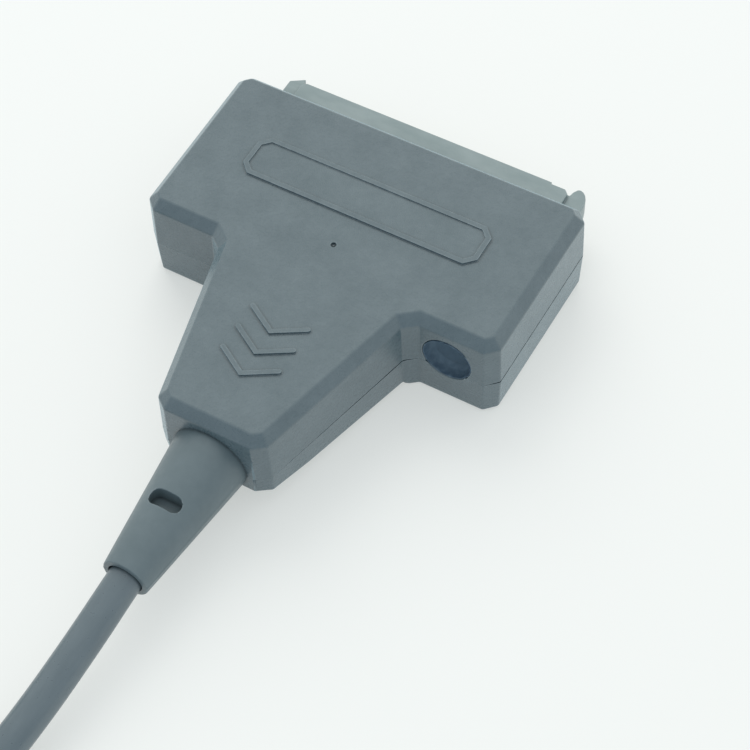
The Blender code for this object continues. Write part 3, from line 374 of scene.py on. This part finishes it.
@dataclass(frozen=True)
class Bore:
    """Dull moulding round a socket's bore, paler with depth, a painted light that keeps its shaded inside
    readable.
    """

    name: str
    colour: Colour
    painted_light_deep: Colour
    mouth_y: float
    reach: float
    cloud_size: float = 0.6 * MM
    gloss_size: float = 0.3 * MM
    grain: float = 0.15 * MM
    grain_depth: float = 0.006 * MM

    def material(self) -> bpy.types.Material:
        """Build the finish.

        Returns:
            The material.
        """
        g = Graph(self.name)
        along = g.add("ShaderNodeSeparateXYZ", {0: g.place}).outputs[1]
        # Painted light: the colour turns paler deeper in the bore, where shade falls.
        colour = g.blend(g.ramp(along, self.mouth_y, self.mouth_y + self.reach), self.colour, self.painted_light_deep)
        # Cloudy patches also blend towards the same painted pale colour.
        cloud = g.ramp(g.noise(self.cloud_size, 3), 0.4, 0.75, 0.0, 0.25)
        return g.surface({
            "Base Color": g.blend(cloud, colour, self.painted_light_deep),
            "Roughness": g.ramp(g.noise(self.gloss_size), 0.3, 0.7, 0.55, 0.7),
            "Normal": g.bump(g.noise(self.grain), self.grain_depth),
            "Specular IOR Level": 0.25,
        })


@dataclass(frozen=True)
class Laminate:
    """A circuit board: green mask over copper tracks and pads on a glass weave."""

    name: str
    mask: Colour = (0.012, 0.09, 0.035)
    track: Colour = (0.03, 0.17, 0.06)
    edge: Colour = (0.42, 0.40, 0.22)
    track_pitch: float = 0.9
    track_length: float = 3.3
    track_width: float = 0.12
    track_depth: float = 0.02 * MM
    weave_size: float = 0.35 * MM
    weave_depth: float = 0.004 * MM

    def material(self) -> bpy.types.Material:
        """Build the finish.

        Returns:
            The material.
        """
        g = Graph(self.name)
        mapped = g.add("ShaderNodeMapping", {"Vector": g.place, "Scale": (1 / MM, 1 / MM, 1 / MM)})
        tracks = g.add("ShaderNodeTexBrick", {
            "Vector": mapped.outputs[0],
            "Scale": 1.0,
            "Mortar Size": self.track_width,
            "Brick Width": self.track_length,
            "Row Height": self.track_pitch,
        }).outputs["Fac"]
        weave = g.noise(self.weave_size, 2)
        colour = g.blend(tracks, self.mask, self.track)
        colour = g.blend(g.ramp(weave, 0.4, 0.7, 0.0, 0.3), colour, self.track)
        normal = g.add("ShaderNodeNewGeometry").outputs["Normal"]
        up = g.add("ShaderNodeSeparateXYZ", {0: normal}).outputs[2]
        side = g.ramp(g.sum_of(up, 0.0, "ABSOLUTE"), 0.7, 0.3)
        return g.surface({
            "Base Color": g.blend(side, colour, self.edge),
            "Roughness": g.ramp(weave, 0.3, 0.7, 0.28, 0.42),
            "Normal": g.bump(tracks, self.track_depth, g.bump(weave, self.weave_depth)),
        })


class Finish(Enum):
    """Every finish on the adapter."""

    CASING = Moulding(
        "casing_satin", (0.080, 0.119, 0.136), (0.42, 0.50, 0.53), roughness=0.28,
        grain=0.4 * MM, grain_depth=0.0025 * MM, drift=0.10, edge_wear_and_highlight=0.4, dust=0.06,
        specular=0.85, sheen=0.38, sheen_tint=(0.6, 0.88, 1.0),
    )
    RECEPTACLE = Moulding(
        "receptacle_grey", (0.215, 0.276, 0.282), (0.44, 0.51, 0.51), roughness=0.36,
        drift=0.35, flow=(2.5, 1, 1),
    )
    RELIEF = Moulding(
        "relief_rubber", (0.102, 0.143, 0.158), (0.40, 0.47, 0.50), roughness=0.4,
        grain=0.3 * MM, drift=0.08, edge_wear_and_highlight=0.3, dust=0.12, specular=0.65,
    )
    JACKET = Moulding(
        "lead_jacket", (0.092, 0.128, 0.147), (0.38, 0.45, 0.48), roughness=0.32,
        grain=0.4 * MM, grain_depth=0.006 * MM, drift=0.12, flow=(1, 4, 1), edge_wear_and_highlight=0.05,
        dust=0.04, specular=0.75,
    )
    # The socket's bore: its dark colour, then the paler painted light deep inside.
    SOCKET = Bore("socket_black", (0.073, 0.120, 0.172), (0.42, 0.56, 0.66), 5.9 * MM, 4 * MM)
    RESIN = Moulding("chip_resin", (0.018, 0.018, 0.02), (0.12, 0.12, 0.12), roughness=0.6)
    TONGUE = Moulding("tongue_white", (0.62, 0.63, 0.62), (0.85, 0.86, 0.85), roughness=0.4, edge_wear_and_highlight=0.1)
    RED = Moulding("core_red", (0.42, 0.02, 0.015), (0.7, 0.2, 0.18), roughness=0.4, edge_wear_and_highlight=0.05)
    WHITE = Moulding("core_white", (0.62, 0.61, 0.57), (0.8, 0.8, 0.78), roughness=0.4, edge_wear_and_highlight=0.05)
    GREEN = Moulding("core_green", (0.02, 0.22, 0.06), (0.2, 0.5, 0.25), roughness=0.4, edge_wear_and_highlight=0.05)
    BLACK = Moulding("core_black", (0.015, 0.015, 0.016), (0.12, 0.12, 0.12), roughness=0.4, edge_wear_and_highlight=0.05)
    BOARD = Laminate("board_mask")
    STEEL = Metal("steel_plated", (0.55, 0.56, 0.57), (0.36, 0.36, 0.36))
    CONTACT = Metal("contact_plating", (0.80, 0.60, 0.28), (0.45, 0.30, 0.12), lines=(18, 1, 1))

    def get(self) -> bpy.types.Material:
        """Return the finish's material, built once."""
        return bpy.data.materials.get(self.value.name) or self.value.material()


# Meshes


def coat(obj: bpy.types.Object, finish: Finish) -> None:
    """Give an object one finish all over.

    Args:
        obj: the object.
        finish: its finish.
    """
    obj.data.materials.clear()
    obj.data.materials.append(finish.get())


def add_mesh(name: str, bm: bmesh.types.BMesh) -> bpy.types.Object:
    """Make an object of a finished mesh.

    Args:
        name: the piece's name.
        bm: the mesh, which is used up.

    Returns:
        The object.
    """
    bmesh.ops.recalc_face_normals(bm, faces=bm.faces)
    for face in bm.faces:
        face.smooth = True
    mesh = bpy.data.meshes.new(name)
    bm.to_mesh(mesh)
    bm.free()
    obj = bpy.data.objects.new(name, mesh)
    bpy.context.scene.collection.objects.link(obj)
    return obj


def from_node(node: str, name: str, whole_faces: bool = True) -> bpy.types.Object:
    """Copy a CAD node's shape, ready to be rounded.

    Args:
        node: the CAD node.
        name: the new piece's name.
        whole_faces: whether the triangles of a flat face are joined.

    Returns:
        The new piece.
    """
    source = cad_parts[node].data
    bm = bmesh.new()
    verts = [bm.verts.new(v.co) for v in source.vertices]
    for polygon in source.polygons:
        corners = [verts[i] for i in polygon.vertices]
        if len(set(corners)) > 2 and bm.faces.get(corners) is None:
            bm.faces.new(corners)
    bmesh.ops.remove_doubles(bm, verts=bm.verts, dist=SAME_POINT)
    if whole_faces:
        flat = math.radians(FLAT_ANGLE)
        bmesh.ops.dissolve_limit(bm, angle_limit=flat, verts=bm.verts, edges=bm.edges)
    return add_mesh(name, bm)


def solid_tree() -> BVHTree:
    """Gather every CAD node for ray tests.

    Returns:
        The tree of their faces.
    """
    points, faces = [], []
    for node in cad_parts.values():
        start = len(points)
        points += [tuple(v.co) for v in node.data.vertices]
        faces += [[start + i for i in polygon.vertices] for polygon in node.data.polygons]
    return BVHTree.FromPolygons(points, faces)


SOLIDS = solid_tree()


def is_shown(edge: bmesh.types.BMEdge) -> bool:
    """Say whether an edge looks out into the open.

    Args:
        edge: an edge with two faces.

    Returns:
        True unless the way straight out of it meets a solid.
    """
    out = (edge.link_faces[0].normal + edge.link_faces[1].normal).normalized()
    middle = (edge.verts[0].co + edge.verts[1].co) / 2
    return SOLIDS.ray_cast(middle + out * JUST_OUTSIDE, out, LOOK_OUT)[0] is None


def reach_across(edge: bmesh.types.BMEdge, face: bmesh.types.BMFace) -> float:
    """Measure how far a face reaches from one of its edges.

    Args:
        edge: the edge.
        face: one of its faces.

    Returns:
        The distance in metres.
    """
    start = edge.verts[0].co
    along = (edge.verts[1].co - start).normalized()
    return max(((v.co - start) - along * (v.co - start).dot(along)).length for v in face.verts)


@dataclass(frozen=True)
class FineBand:
    """A band of heights where edges between flat and upright faces are rounded finely."""

    low: float
    high: float
    width: float

    def holds(self, edge: bmesh.types.BMEdge) -> bool:
        """Say whether an edge lies in the band.

        Args:
            edge: an edge with two faces.

        Returns:
            True if it does, and its faces are flat or upright.
        """
        leans = [abs(face.normal.z) for face in edge.link_faces]
        square = all(lean > 0.97 or lean < 0.1 for lean in leans)
        return square and all(self.low < v.co.z < self.high for v in edge.verts)


def soften(obj: bpy.types.Object, width: float, segments: int = 3, angle: float = 25.0,
           bands: tuple[FineBand, ...] = ()) -> None:
    """Round the edges that show, and keep the faces flat between them.

    Args:
        obj: the object.
        width: the rounding's width in metres.
        segments: steps across it.
        angle: the least turn between two faces that is rounded, in degrees.
        bands: where the rounding is finer.
    """
    bm = bmesh.new()
    bm.from_mesh(obj.data)
    bm.normal_update()
    weight = bm.edges.layers.float.new("bevel_weight_edge")
    for edge in bm.edges:
        if len(edge.link_faces) != 2 or edge.calc_face_angle(0.0) < math.radians(angle):
            continue
        if edge.calc_length() < SHORTEST_EDGE or not is_shown(edge):
            edge.smooth = False
            continue
        wanted = next((band.width for band in bands if band.holds(edge)), width)
        room = ROUNDED_SHARE * min(reach_across(edge, face) for face in edge.link_faces)
        edge[weight] = min(wanted, room) / width
    bm.to_mesh(obj.data)
    bm.free()
    bevel = obj.modifiers.new("edge rounding", "BEVEL")
    bevel.width = width
    bevel.segments = segments
    bevel.limit_method = "WEIGHT"
    bevel.harden_normals = True
    bevel.use_clamp_overlap = False


def settle(obj: bpy.types.Object) -> None:
    """Turn an object's modifiers into its mesh.

    Args:
        obj: the object.
    """
    graph = bpy.context.evaluated_depsgraph_get()
    mesh = bpy.data.meshes.new_from_object(obj.evaluated_get(graph), depsgraph=graph)
    obj.modifiers.clear()
    old = obj.data
    obj.data = mesh
    bpy.data.meshes.remove(old)


def place_piece(obj: bpy.types.Object, finish: Finish, slot: str, *nodes: str) -> None:
    """Coat a piece, put it on the body and say what it stands for.

    Args:
        obj: the piece.
        finish: its finish.
        slot: the name of a material slot; not used.
        nodes: the CAD nodes that it replaces.
    """
    coat(obj, finish)
    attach(obj, BODY)
    if nodes:
        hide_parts(*nodes)
    log.info("%s stands for %s", obj.name, ", ".join(nodes) or "nothing else")


def ring_loft(rings: list[list[Point]]) -> bmesh.types.BMesh:
    """Skin a row of rings, and fill the first and the last.

    Args:
        rings: rings of the same number of points.

    Returns:
        The mesh.
    """
    bm = bmesh.new()
    loops = [[bm.verts.new(p) for p in ring] for ring in rings]
    for lower, upper in zip(loops, loops[1:]):
        for i, vert in enumerate(lower):
            after = (i + 1) % len(lower)
            bm.faces.new((vert, lower[after], upper[after], upper[i]))
    bm.faces.new(loops[0][::-1])
    bm.faces.new(loops[-1])
    return bm


# The adapter's parts


@dataclass(frozen=True)
class Rim:
    """The height of a half's rim at the seam, and where it is brought to narrow the seam."""

    height: float
    in_front: float
    elsewhere: float
    nearly: float = 0.012 * MM

    def holds(self, z: float) -> bool:
        """Say whether a height is the rim's."""
        return abs(z - self.height) < self.nearly


@dataclass
class Casing:
    """The two halves of the moulded casing."""

    halves: tuple[str, ...] = ("top_shell", "bottom_shell")
    rounding: float = 0.2 * MM
    segments: int = 3
    seam: FineBand = FineBand(5.6 * MM, 6.0 * MM, 0.015 * MM)
    marks: FineBand = FineBand(13.3 * MM, 14.0 * MM, 0.06 * MM)
    rims: tuple[Rim, ...] = (
        Rim(5.95 * MM, 5.825 * MM, 5.915 * MM),
        Rim(5.65 * MM, 5.79 * MM, 5.685 * MM),
    )
    tail_corner_y: float = -15.5 * MM
    front_normal_y: float = -0.9

    def close_seam(self, shell: bpy.types.Object) -> None:
        """Bring a half's rim nearer to the other half's, nearest in the walls that face forward.

        Args:
            shell: one half.
        """
        front = set()
        for face in shell.data.polygons:
            if face.normal.y < self.front_normal_y or face.center.y < self.tail_corner_y:
                front.update(face.vertices)
        for vert in shell.data.vertices:
            for rim in self.rims:
                if rim.holds(vert.co.z):
                    vert.co.z = rim.in_front if vert.index in front else rim.elsewhere

    def build(self) -> None:
        """Build both halves from the CAD shapes and round their edges."""
        for node in self.halves:
            shell = from_node(node, f"{node}_moulding")
            self.close_seam(shell)
            soften(shell, self.rounding, self.segments, bands=(self.seam, self.marks))
            place_piece(shell, Finish.CASING, "casing", node)


@dataclass
class Receptacle:
    """The drive receptacle's moulding and its contacts."""

    rounding: float = 0.12 * MM
    power_contacts: int = 15
    signal_contacts: int = 7

    def build(self) -> None:
        """Build the moulding, and plate the contacts."""
        housing = from_node("sata_housing", "receptacle_moulding")
        soften(housing, self.rounding, 2)
        place_piece(housing, Finish.RECEPTACLE, "receptacle", "sata_housing")
        for kind, count in (("power", self.power_contacts), ("signal", self.signal_contacts)):
            for i in range(count):
                coat(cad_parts[f"sata_{kind}_contact_{i + 1}"], Finish.CONTACT)
        log.info("%d contacts plated", self.power_contacts + self.signal_contacts)


@dataclass
class PowerSocket:
    """The round power socket behind the right shoulder."""

    rounding: float = 0.05 * MM
    axis: tuple[float, float] = (18.17 * MM, 7.8 * MM)
    mouth_y: float = 5.825 * MM
    mouth_depth: float = 0.1 * MM
    nose_end_y: float = 7.2 * MM
    nose_radius: tuple[float, float] = (3.0 * MM, 3.26 * MM)
    bore_radius: tuple[float, float] = (2.8 * MM, 3.14 * MM)
    nearly: float = 0.08 * MM
    forward: float = 0.28 * MM

    def flare(self, body: bpy.types.Object) -> None:
        """Widen the nose to close round the casing's hole, bring it forward and flare its mouth.

        Args:
            body: the socket's moulding.
        """
        x, z = self.axis
        for vert in body.data.vertices:
            radius = math.hypot(vert.co.x - x, vert.co.z - z)
            in_nose = vert.co.y < self.nose_end_y
            at_mouth = vert.co.y < self.mouth_y + self.mouth_depth
            for (old, new), moves in ((self.nose_radius, in_nose), (self.bore_radius, at_mouth)):
                if moves and abs(radius - old) < self.nearly:
                    vert.co.x = x + (vert.co.x - x) * new / old
                    vert.co.z = z + (vert.co.z - z) * new / old
                    break
            if at_mouth:
                vert.co.y -= self.forward

    def build(self) -> None:
        """Build the socket's moulding, and plate its pin and leaf."""
        body = from_node("power_jack_body", "power_socket_moulding", whole_faces=False)
        self.flare(body)
        soften(body, self.rounding, 2, 35)
        place_piece(body, Finish.SOCKET, "black_resin", "power_jack_body")
        coat(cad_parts["power_jack_pin"], Finish.STEEL)
        coat(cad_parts["power_jack_sleeve"], Finish.STEEL)


@dataclass
class StrainRelief:
    """The tapered moulding at the lead's exit, with its two windows."""

    axis_z: float = 6.3 * MM
    root_y: float = -18.6 * MM
    root_radius: float = 4.9 * MM
    root_edge: float = 0.1 * MM
    end_radius: float = 2.95 * MM
    end_edge: float = 0.16 * MM
    lip_radius: float = 2.18 * MM
    lip_bevel: float = 0.08 * MM
    lip_depth: float = 0.75 * MM
    edge_steps: int = 4
    sides: int = 96
    seam: float = 0.07 * MM
    seam_width: float = 0.18 * MM
    seam_from_radius: float = 2.6 * MM
    pinhole: float = 0.02 * MM
    window_y: float = -27.775 * MM
    window_size: tuple[float, float] = (4.1 * MM, 2.0 * MM)
    window_corner: float = 0.95 * MM
    window_floor: float = 1.7 * MM
    window_top: float = 6.5 * MM
    window_rounding: float = 0.14 * MM

    def profile(self) -> list[tuple[float, float]]:
        """List the outline as (distance from the end, radius), from the root to the end.

        Returns:
            The outline.
        """
        length, edge, blunt = self.root_y - RELIEF_END_Y, self.root_edge, self.end_edge
        quarter = [math.radians(90 * step / self.edge_steps) for step in range(self.edge_steps + 1)]
        points = [(length, 0.0), (length, self.root_radius - edge)]
        for turn in quarter[1:]:
            along = length - edge * (1 - math.cos(turn))
            points.append((along, self.root_radius - edge * (1 - math.sin(turn))))
        taper = (self.root_radius - self.end_radius) / (length - edge)
        for share in (0.8, 0.6, 0.4, 0.2, 0.05):
            along = (length - edge) * share
            points.append((along, self.end_radius + taper * along))
        for turn in quarter:
            along = blunt * (1 - math.sin(turn))
            points.append((along, self.end_radius - blunt * (1 - math.cos(turn))))
        lip, depth = self.lip_radius, self.lip_depth
        points += [(0.0, lip + self.lip_bevel), (0.1 * MM, lip)]
        points += [(depth, lip - 0.02 * MM), (depth + 0.05 * MM, 0.0)]
        return points

    def turned(self) -> bmesh.types.BMesh:
        """Turn the outline about the axis, with a fine seam along both sides.

        Returns:
            The mesh.
        """
        rings = []
        for along, radius in self.profile():
            ring = []
            for i in range(self.sides):
                turn = 2 * math.pi * i / self.sides
                off_seam = min(abs(math.sin(turn)) * radius / self.seam_width, 1.0)
                proud = self.seam * (1 - off_seam) if radius > self.seam_from_radius else 0.0
                reach = max(radius, self.pinhole) + proud
                x, z = reach * math.cos(turn), reach * math.sin(turn)
                ring.append((x, RELIEF_END_Y + along, self.axis_z + z))
            rings.append(ring)
        return ring_loft(rings)

    def window_cutter(self, up: int) -> bpy.types.Object:
        """Make the rounded block that is cut out for a window.

        Args:
            up: 1 for the upper window and -1 for the lower.

        Returns:
            The cutter.
        """
        half_x, half_y = self.window_size[0] / 2, self.window_size[1] / 2
        corner = self.window_corner
        outline = []
        for quarter, (sx, sy) in enumerate(((1, 1), (-1, 1), (-1, -1), (1, -1))):
            for step in range(7):
                turn = math.radians(90 * quarter + 15 * step)
                x = sx * (half_x - corner) + corner * math.cos(turn)
                outline.append((x, sy * (half_y - corner) + corner * math.sin(turn)))
        rings = []
        for height in (self.window_floor, self.window_top):
            z = self.axis_z + up * height
            rings.append([(x, self.window_y + y, z) for x, y in outline])
        return add_mesh(f"window_cutter_{up}", ring_loft(rings))

    def build(self) -> None:
        """Build the relief, cut its windows and round their rims."""
        relief = add_mesh("strain_relief_moulding", self.turned())
        cutters = [self.window_cutter(up) for up in (1, -1)]
        for cutter in cutters:
            step = relief.modifiers.new(cutter.name, "BOOLEAN")
            step.operation = "DIFFERENCE"
            step.solver = "EXACT"
            step.object = cutter
        settle(relief)
        for cutter in cutters:
            bpy.data.objects.remove(cutter)
        soften(relief, self.window_rounding, 2, 40)
        place_piece(relief, Finish.RELIEF, "cable_jacket", "strain_relief")


@dataclass
class Lead:
    """The free lead: along the table, round in its coil and up to the plug."""

    radius: float = 2.1 * MM
    seen: tuple[Point, ...] = (
        (0.0, 0.55, 6.23),
        (0.0, -2.7, 6.0),
        (-0.05, -6.7, 5.55),
        (-0.2, -11.1, 5.0),
        (-0.5, -16.2, 4.27),
        (-1.0, -21.2, 3.5),
        (-1.65, -25.0, 2.85),
        (-2.55, -28.4, 2.4),
        (-3.35, -31.3, 2.18),
        (-3.9, -34.3, 2.1),
        (-4.0, -37.5, 2.1),
        (-4.0, -41.0, 2.1),
        (-4.0, -45.0, 2.1),
    )
    coil_centre: tuple[float, float] = (-27.0 * MM, -85.575 * MM)
    coil_radius: float = 23.0 * MM
    climb: tuple[float, float] = (43.0 * MM, 14.5 * MM)  # from and to, before the end of the first turn
    level: tuple[float, float] = (2.1 * MM, 6.3 * MM)
    turns: float = 1.5
    steps_per_turn: int = 48
    rise_to_plug: tuple[tuple[float, float], ...] = (
        (3.0, 6.3),
        (6.0, 6.27),
        (10.0, 5.95),
        (14.434, 5.05),
        (17.5, 4.4),
        (20.734, 3.97),
    )
    finish: Finish = Finish.JACKET

    def knots(self) -> list[Vector]:
        """List the points that the lead follows, from the relief to the plug.

        Returns:
            The points.
        """
        points = [Vector((x * MM, RELIEF_END_Y + y * MM, z * MM)) for x, y, z in self.seen]
        (cx, cy), radius = self.coil_centre, self.coil_radius
        once_round = 2 * math.pi * radius
        (low, high), (starts, ends) = self.level, self.climb
        for step in range(int(self.steps_per_turn * self.turns) + 1):
            travelled = once_round * step / self.steps_per_turn
            climbed = min(max((starts - once_round + travelled) / (starts - ends), 0.0), 1.0)
            eased = climbed * climbed * (3 - 2 * climbed)
            turn = -travelled / radius
            x, y = cx + radius * math.cos(turn), cy + radius * math.sin(turn)
            points.append(Vector((x, y, low + (high - low) * eased)))
        for ahead, z in self.rise_to_plug:
            points.append(Vector((cx - radius, cy + ahead * MM, z * MM)))
        return points

    def smooth(self, pieces: int = 6) -> list[Vector]:
        """Run one smooth line through the knots.

        Args:
            pieces: points between two knots.

        Returns:
            The line's points.
        """
        knots = self.knots()
        ends = [2 * knots[0] - knots[1]] + knots + [2 * knots[-1] - knots[-2]]
        line = []
        for a, b, c, d in zip(ends, ends[1:], ends[2:], ends[3:]):
            for k in range(pieces):
                t = k / pieces
                cubic = (3 * (b - c) + d - a) * t**3 + (2 * a - 5 * b + 4 * c - d) * t**2
                line.append((cubic + (c - a) * t + 2 * b) / 2)
        return line + [knots[-1]]

    def build(self, plug: list[bpy.types.Object]) -> None:
        """Args:
            plug: the pieces of its plug; not used.
        """
        points = self.smooth()
        curve = bpy.data.curves.new("lead_jacket", "CURVE")
        curve.dimensions = "3D"
        curve.bevel_depth = self.radius
        curve.bevel_resolution = 8
        curve.use_fill_caps = True
        spline = curve.splines.new("POLY")
        spline.points.add(len(points) - 1)
        for point, at in zip(spline.points, points):
            point.co = (*at, 1)
        spline.use_smooth = True
        lead = bpy.data.objects.new("lead_jacket", curve)
        bpy.context.scene.collection.objects.link(lead)
        place_piece(lead, self.finish, "cable_jacket", "cable", "cable_coil", "cable_end")


@dataclass
class Plug:
    """The plug at the lead's far end."""

    mouldings: tuple[tuple[str, str, float, Finish, str], ...] = (
        ("usb_plug_grip", "plug_grip_moulding", 0.2 * MM, Finish.RELIEF, "cable_jacket"),
        ("usb_plug_shell", "plug_shell_sheet", 0.1 * MM, Finish.STEEL, "plated_steel"),
        ("usb_plug_tongue", "plug_tongue_moulding", 0.1 * MM, Finish.TONGUE, "tongue_plastic"),
    )
    contacts: int = 4

    def build(self) -> list[bpy.types.Object]:
        """Build the plug.

        Returns:
            Its pieces.
        """
        pieces = []
        for node, name, rounding, finish, slot in self.mouldings:
            piece = from_node(node, name)
            soften(piece, rounding, 2, 35)
            place_piece(piece, finish, slot, node)
            pieces.append(piece)
        for i in range(self.contacts):
            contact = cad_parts[f"usb_contact_{i + 1}"]
            coat(contact, Finish.CONTACT)
            pieces.append(contact)
        return pieces


@dataclass
class Circuit:
    """The board, its parts and the lead's cores inside the casing."""

    coats: dict[str, Finish] = field(default_factory=lambda: {
        "circuit_board": Finish.BOARD,
        "bridge_chip": Finish.RESIN,
        "flash_chip": Finish.RESIN,
        "voltage_regulator": Finish.RESIN,
        "power_inductor": Finish.RESIN,
        "crystal": Finish.STEEL,
        "filter_capacitor_1": Finish.STEEL,
        "filter_capacitor_2": Finish.STEEL,
        "signal_wire_1": Finish.RED,
        "signal_wire_2": Finish.WHITE,
        "signal_wire_3": Finish.GREEN,
        "signal_wire_4": Finish.BLACK,
    })

    def build(self) -> None:
        """Coat the board and everything on it."""
        for node, finish in self.coats.items():
            coat(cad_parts[node], finish)
            log.info("%s coated", node)


# Camera, table and light


@dataclass
class Studio:
    """The photograph's viewpoint over a pale table in soft light."""

    camera_at: Point = (81.02 * MM, -112.955 * MM, 200.88 * MM)
    azimuth: float = -31.6275
    elevation: float = 55.5998
    roll: float = -2.7829
    lens: float = 94.73
    near_clip: float = 5 * MM
    table_size: float = 3.0
    table_colour: Colour = (0.435, 0.448, 0.445)
    table_glow: Colour = (0.45, 0.46, 0.445)
    sky_dark: Colour = (0.46, 0.56, 0.66)
    sky_bright: Colour = (1.03, 1.03, 1.0)
    bright_side: Point = (-0.3, 0.9, 0.4)
    key_towards: Point = (-0.6, 0.72, 0.85)
    key_distance: float = 0.9
    key_size: float = 0.7
    key_power: float = 3.5
    key_colour: Colour = (1.0, 0.965, 0.92)

    def camera(self) -> None:
        """Set the camera at the photograph's viewpoint."""
        az, el, roll = (math.radians(a) for a in (self.azimuth, self.elevation, self.roll))
        ahead = Vector((math.sin(az) * math.cos(el), math.cos(az) * math.cos(el), -math.sin(el)))
        right = Vector((math.cos(az), -math.sin(az), 0))
        up = right.cross(ahead)
        across = math.cos(roll) * right + math.sin(roll) * up
        above = -math.sin(roll) * right + math.cos(roll) * up
        data = bpy.data.cameras.new("viewpoint")
        data.lens = self.lens
        data.clip_start = self.near_clip
        camera = bpy.data.objects.new("viewpoint", data)
        bpy.context.scene.collection.objects.link(camera)
        facing = Matrix((across, above, -ahead)).transposed().to_4x4()
        camera.matrix_world = Matrix.Translation(self.camera_at) @ facing
        bpy.context.scene.camera = camera

    def table(self) -> None:
        """Lay the table top, an opal sheet with a soft light of its own."""
        bm = bmesh.new()
        bmesh.ops.create_grid(bm, x_segments=4, y_segments=4, size=self.table_size / 2)
        table = add_mesh("table_top", bm)
        graph = Graph("table_white")
        table.data.materials.append(graph.surface({
            "Base Color": (*self.table_colour, 1),
            "Emission Color": (*self.table_glow, 1),
            "Emission Strength": 1.0,
            "Specular IOR Level": 0.1,
            "Roughness": graph.ramp(graph.noise(30 * MM), 0.3, 0.7, 0.6, 0.7),
        }))

    def key_light(self) -> None:
        """Hang a square soft box aimed at the adapter, and keep it out of reflections."""
        data = bpy.data.lights.new("key_softbox", "AREA")
        data.energy = self.key_power
        data.size = self.key_size
        data.color = self.key_colour
        lamp = bpy.data.objects.new("key_softbox", data)
        lamp.visible_glossy = False
        bpy.context.scene.collection.objects.link(lamp)
        aim = Vector(self.key_towards).normalized()
        lamp.location = aim * self.key_distance
        lamp.rotation_euler = aim.to_track_quat("Z", "Y").to_euler()

    def sky(self) -> None:
        """Spread a soft light all round, brighter towards one side."""
        world = bpy.data.worlds.new("studio_sky")
        world.use_nodes = True
        nodes, links = world.node_tree.nodes, world.node_tree.links
        facing = nodes.new("ShaderNodeVectorMath")
        facing.operation = "DOT_PRODUCT"
        facing.inputs[1].default_value = Vector(self.bright_side).normalized()
        links.new(nodes.new("ShaderNodeTexCoord").outputs["Generated"], facing.inputs[0])
        spread = nodes.new("ShaderNodeMapRange")
        spread.inputs["From Min"].default_value = -1.0
        links.new(facing.outputs["Value"], spread.inputs["Value"])
        shade = nodes.new("ShaderNodeMix")
        shade.data_type = "RGBA"
        links.new(spread.outputs["Result"], shade.inputs["Factor"])
        for number, colour in ((6, self.sky_dark), (7, self.sky_bright)):
            shade.inputs[number].default_value = (*colour, 1)
        links.new(shade.outputs[2], nodes["Background"].inputs["Color"])
        bpy.context.scene.world = world

    def build(self) -> None:
        """Set the camera, the table, the sky and the light."""
        self.camera()
        self.table()
        self.sky()
        self.key_light()
        bpy.context.scene.view_settings.view_transform = "Standard"


def main() -> None:
    logging.basicConfig(level=logging.INFO, format="%(name)s: %(message)s")
    Studio().build()
    plug = Plug().build()
    Lead().build(plug)
    for part in (Casing(), Receptacle(), PowerSocket(), StrainRelief(), Circuit()):
        part.build()
        log.info("%s built", type(part).__name__)


if __name__ == "__main__":
    main()
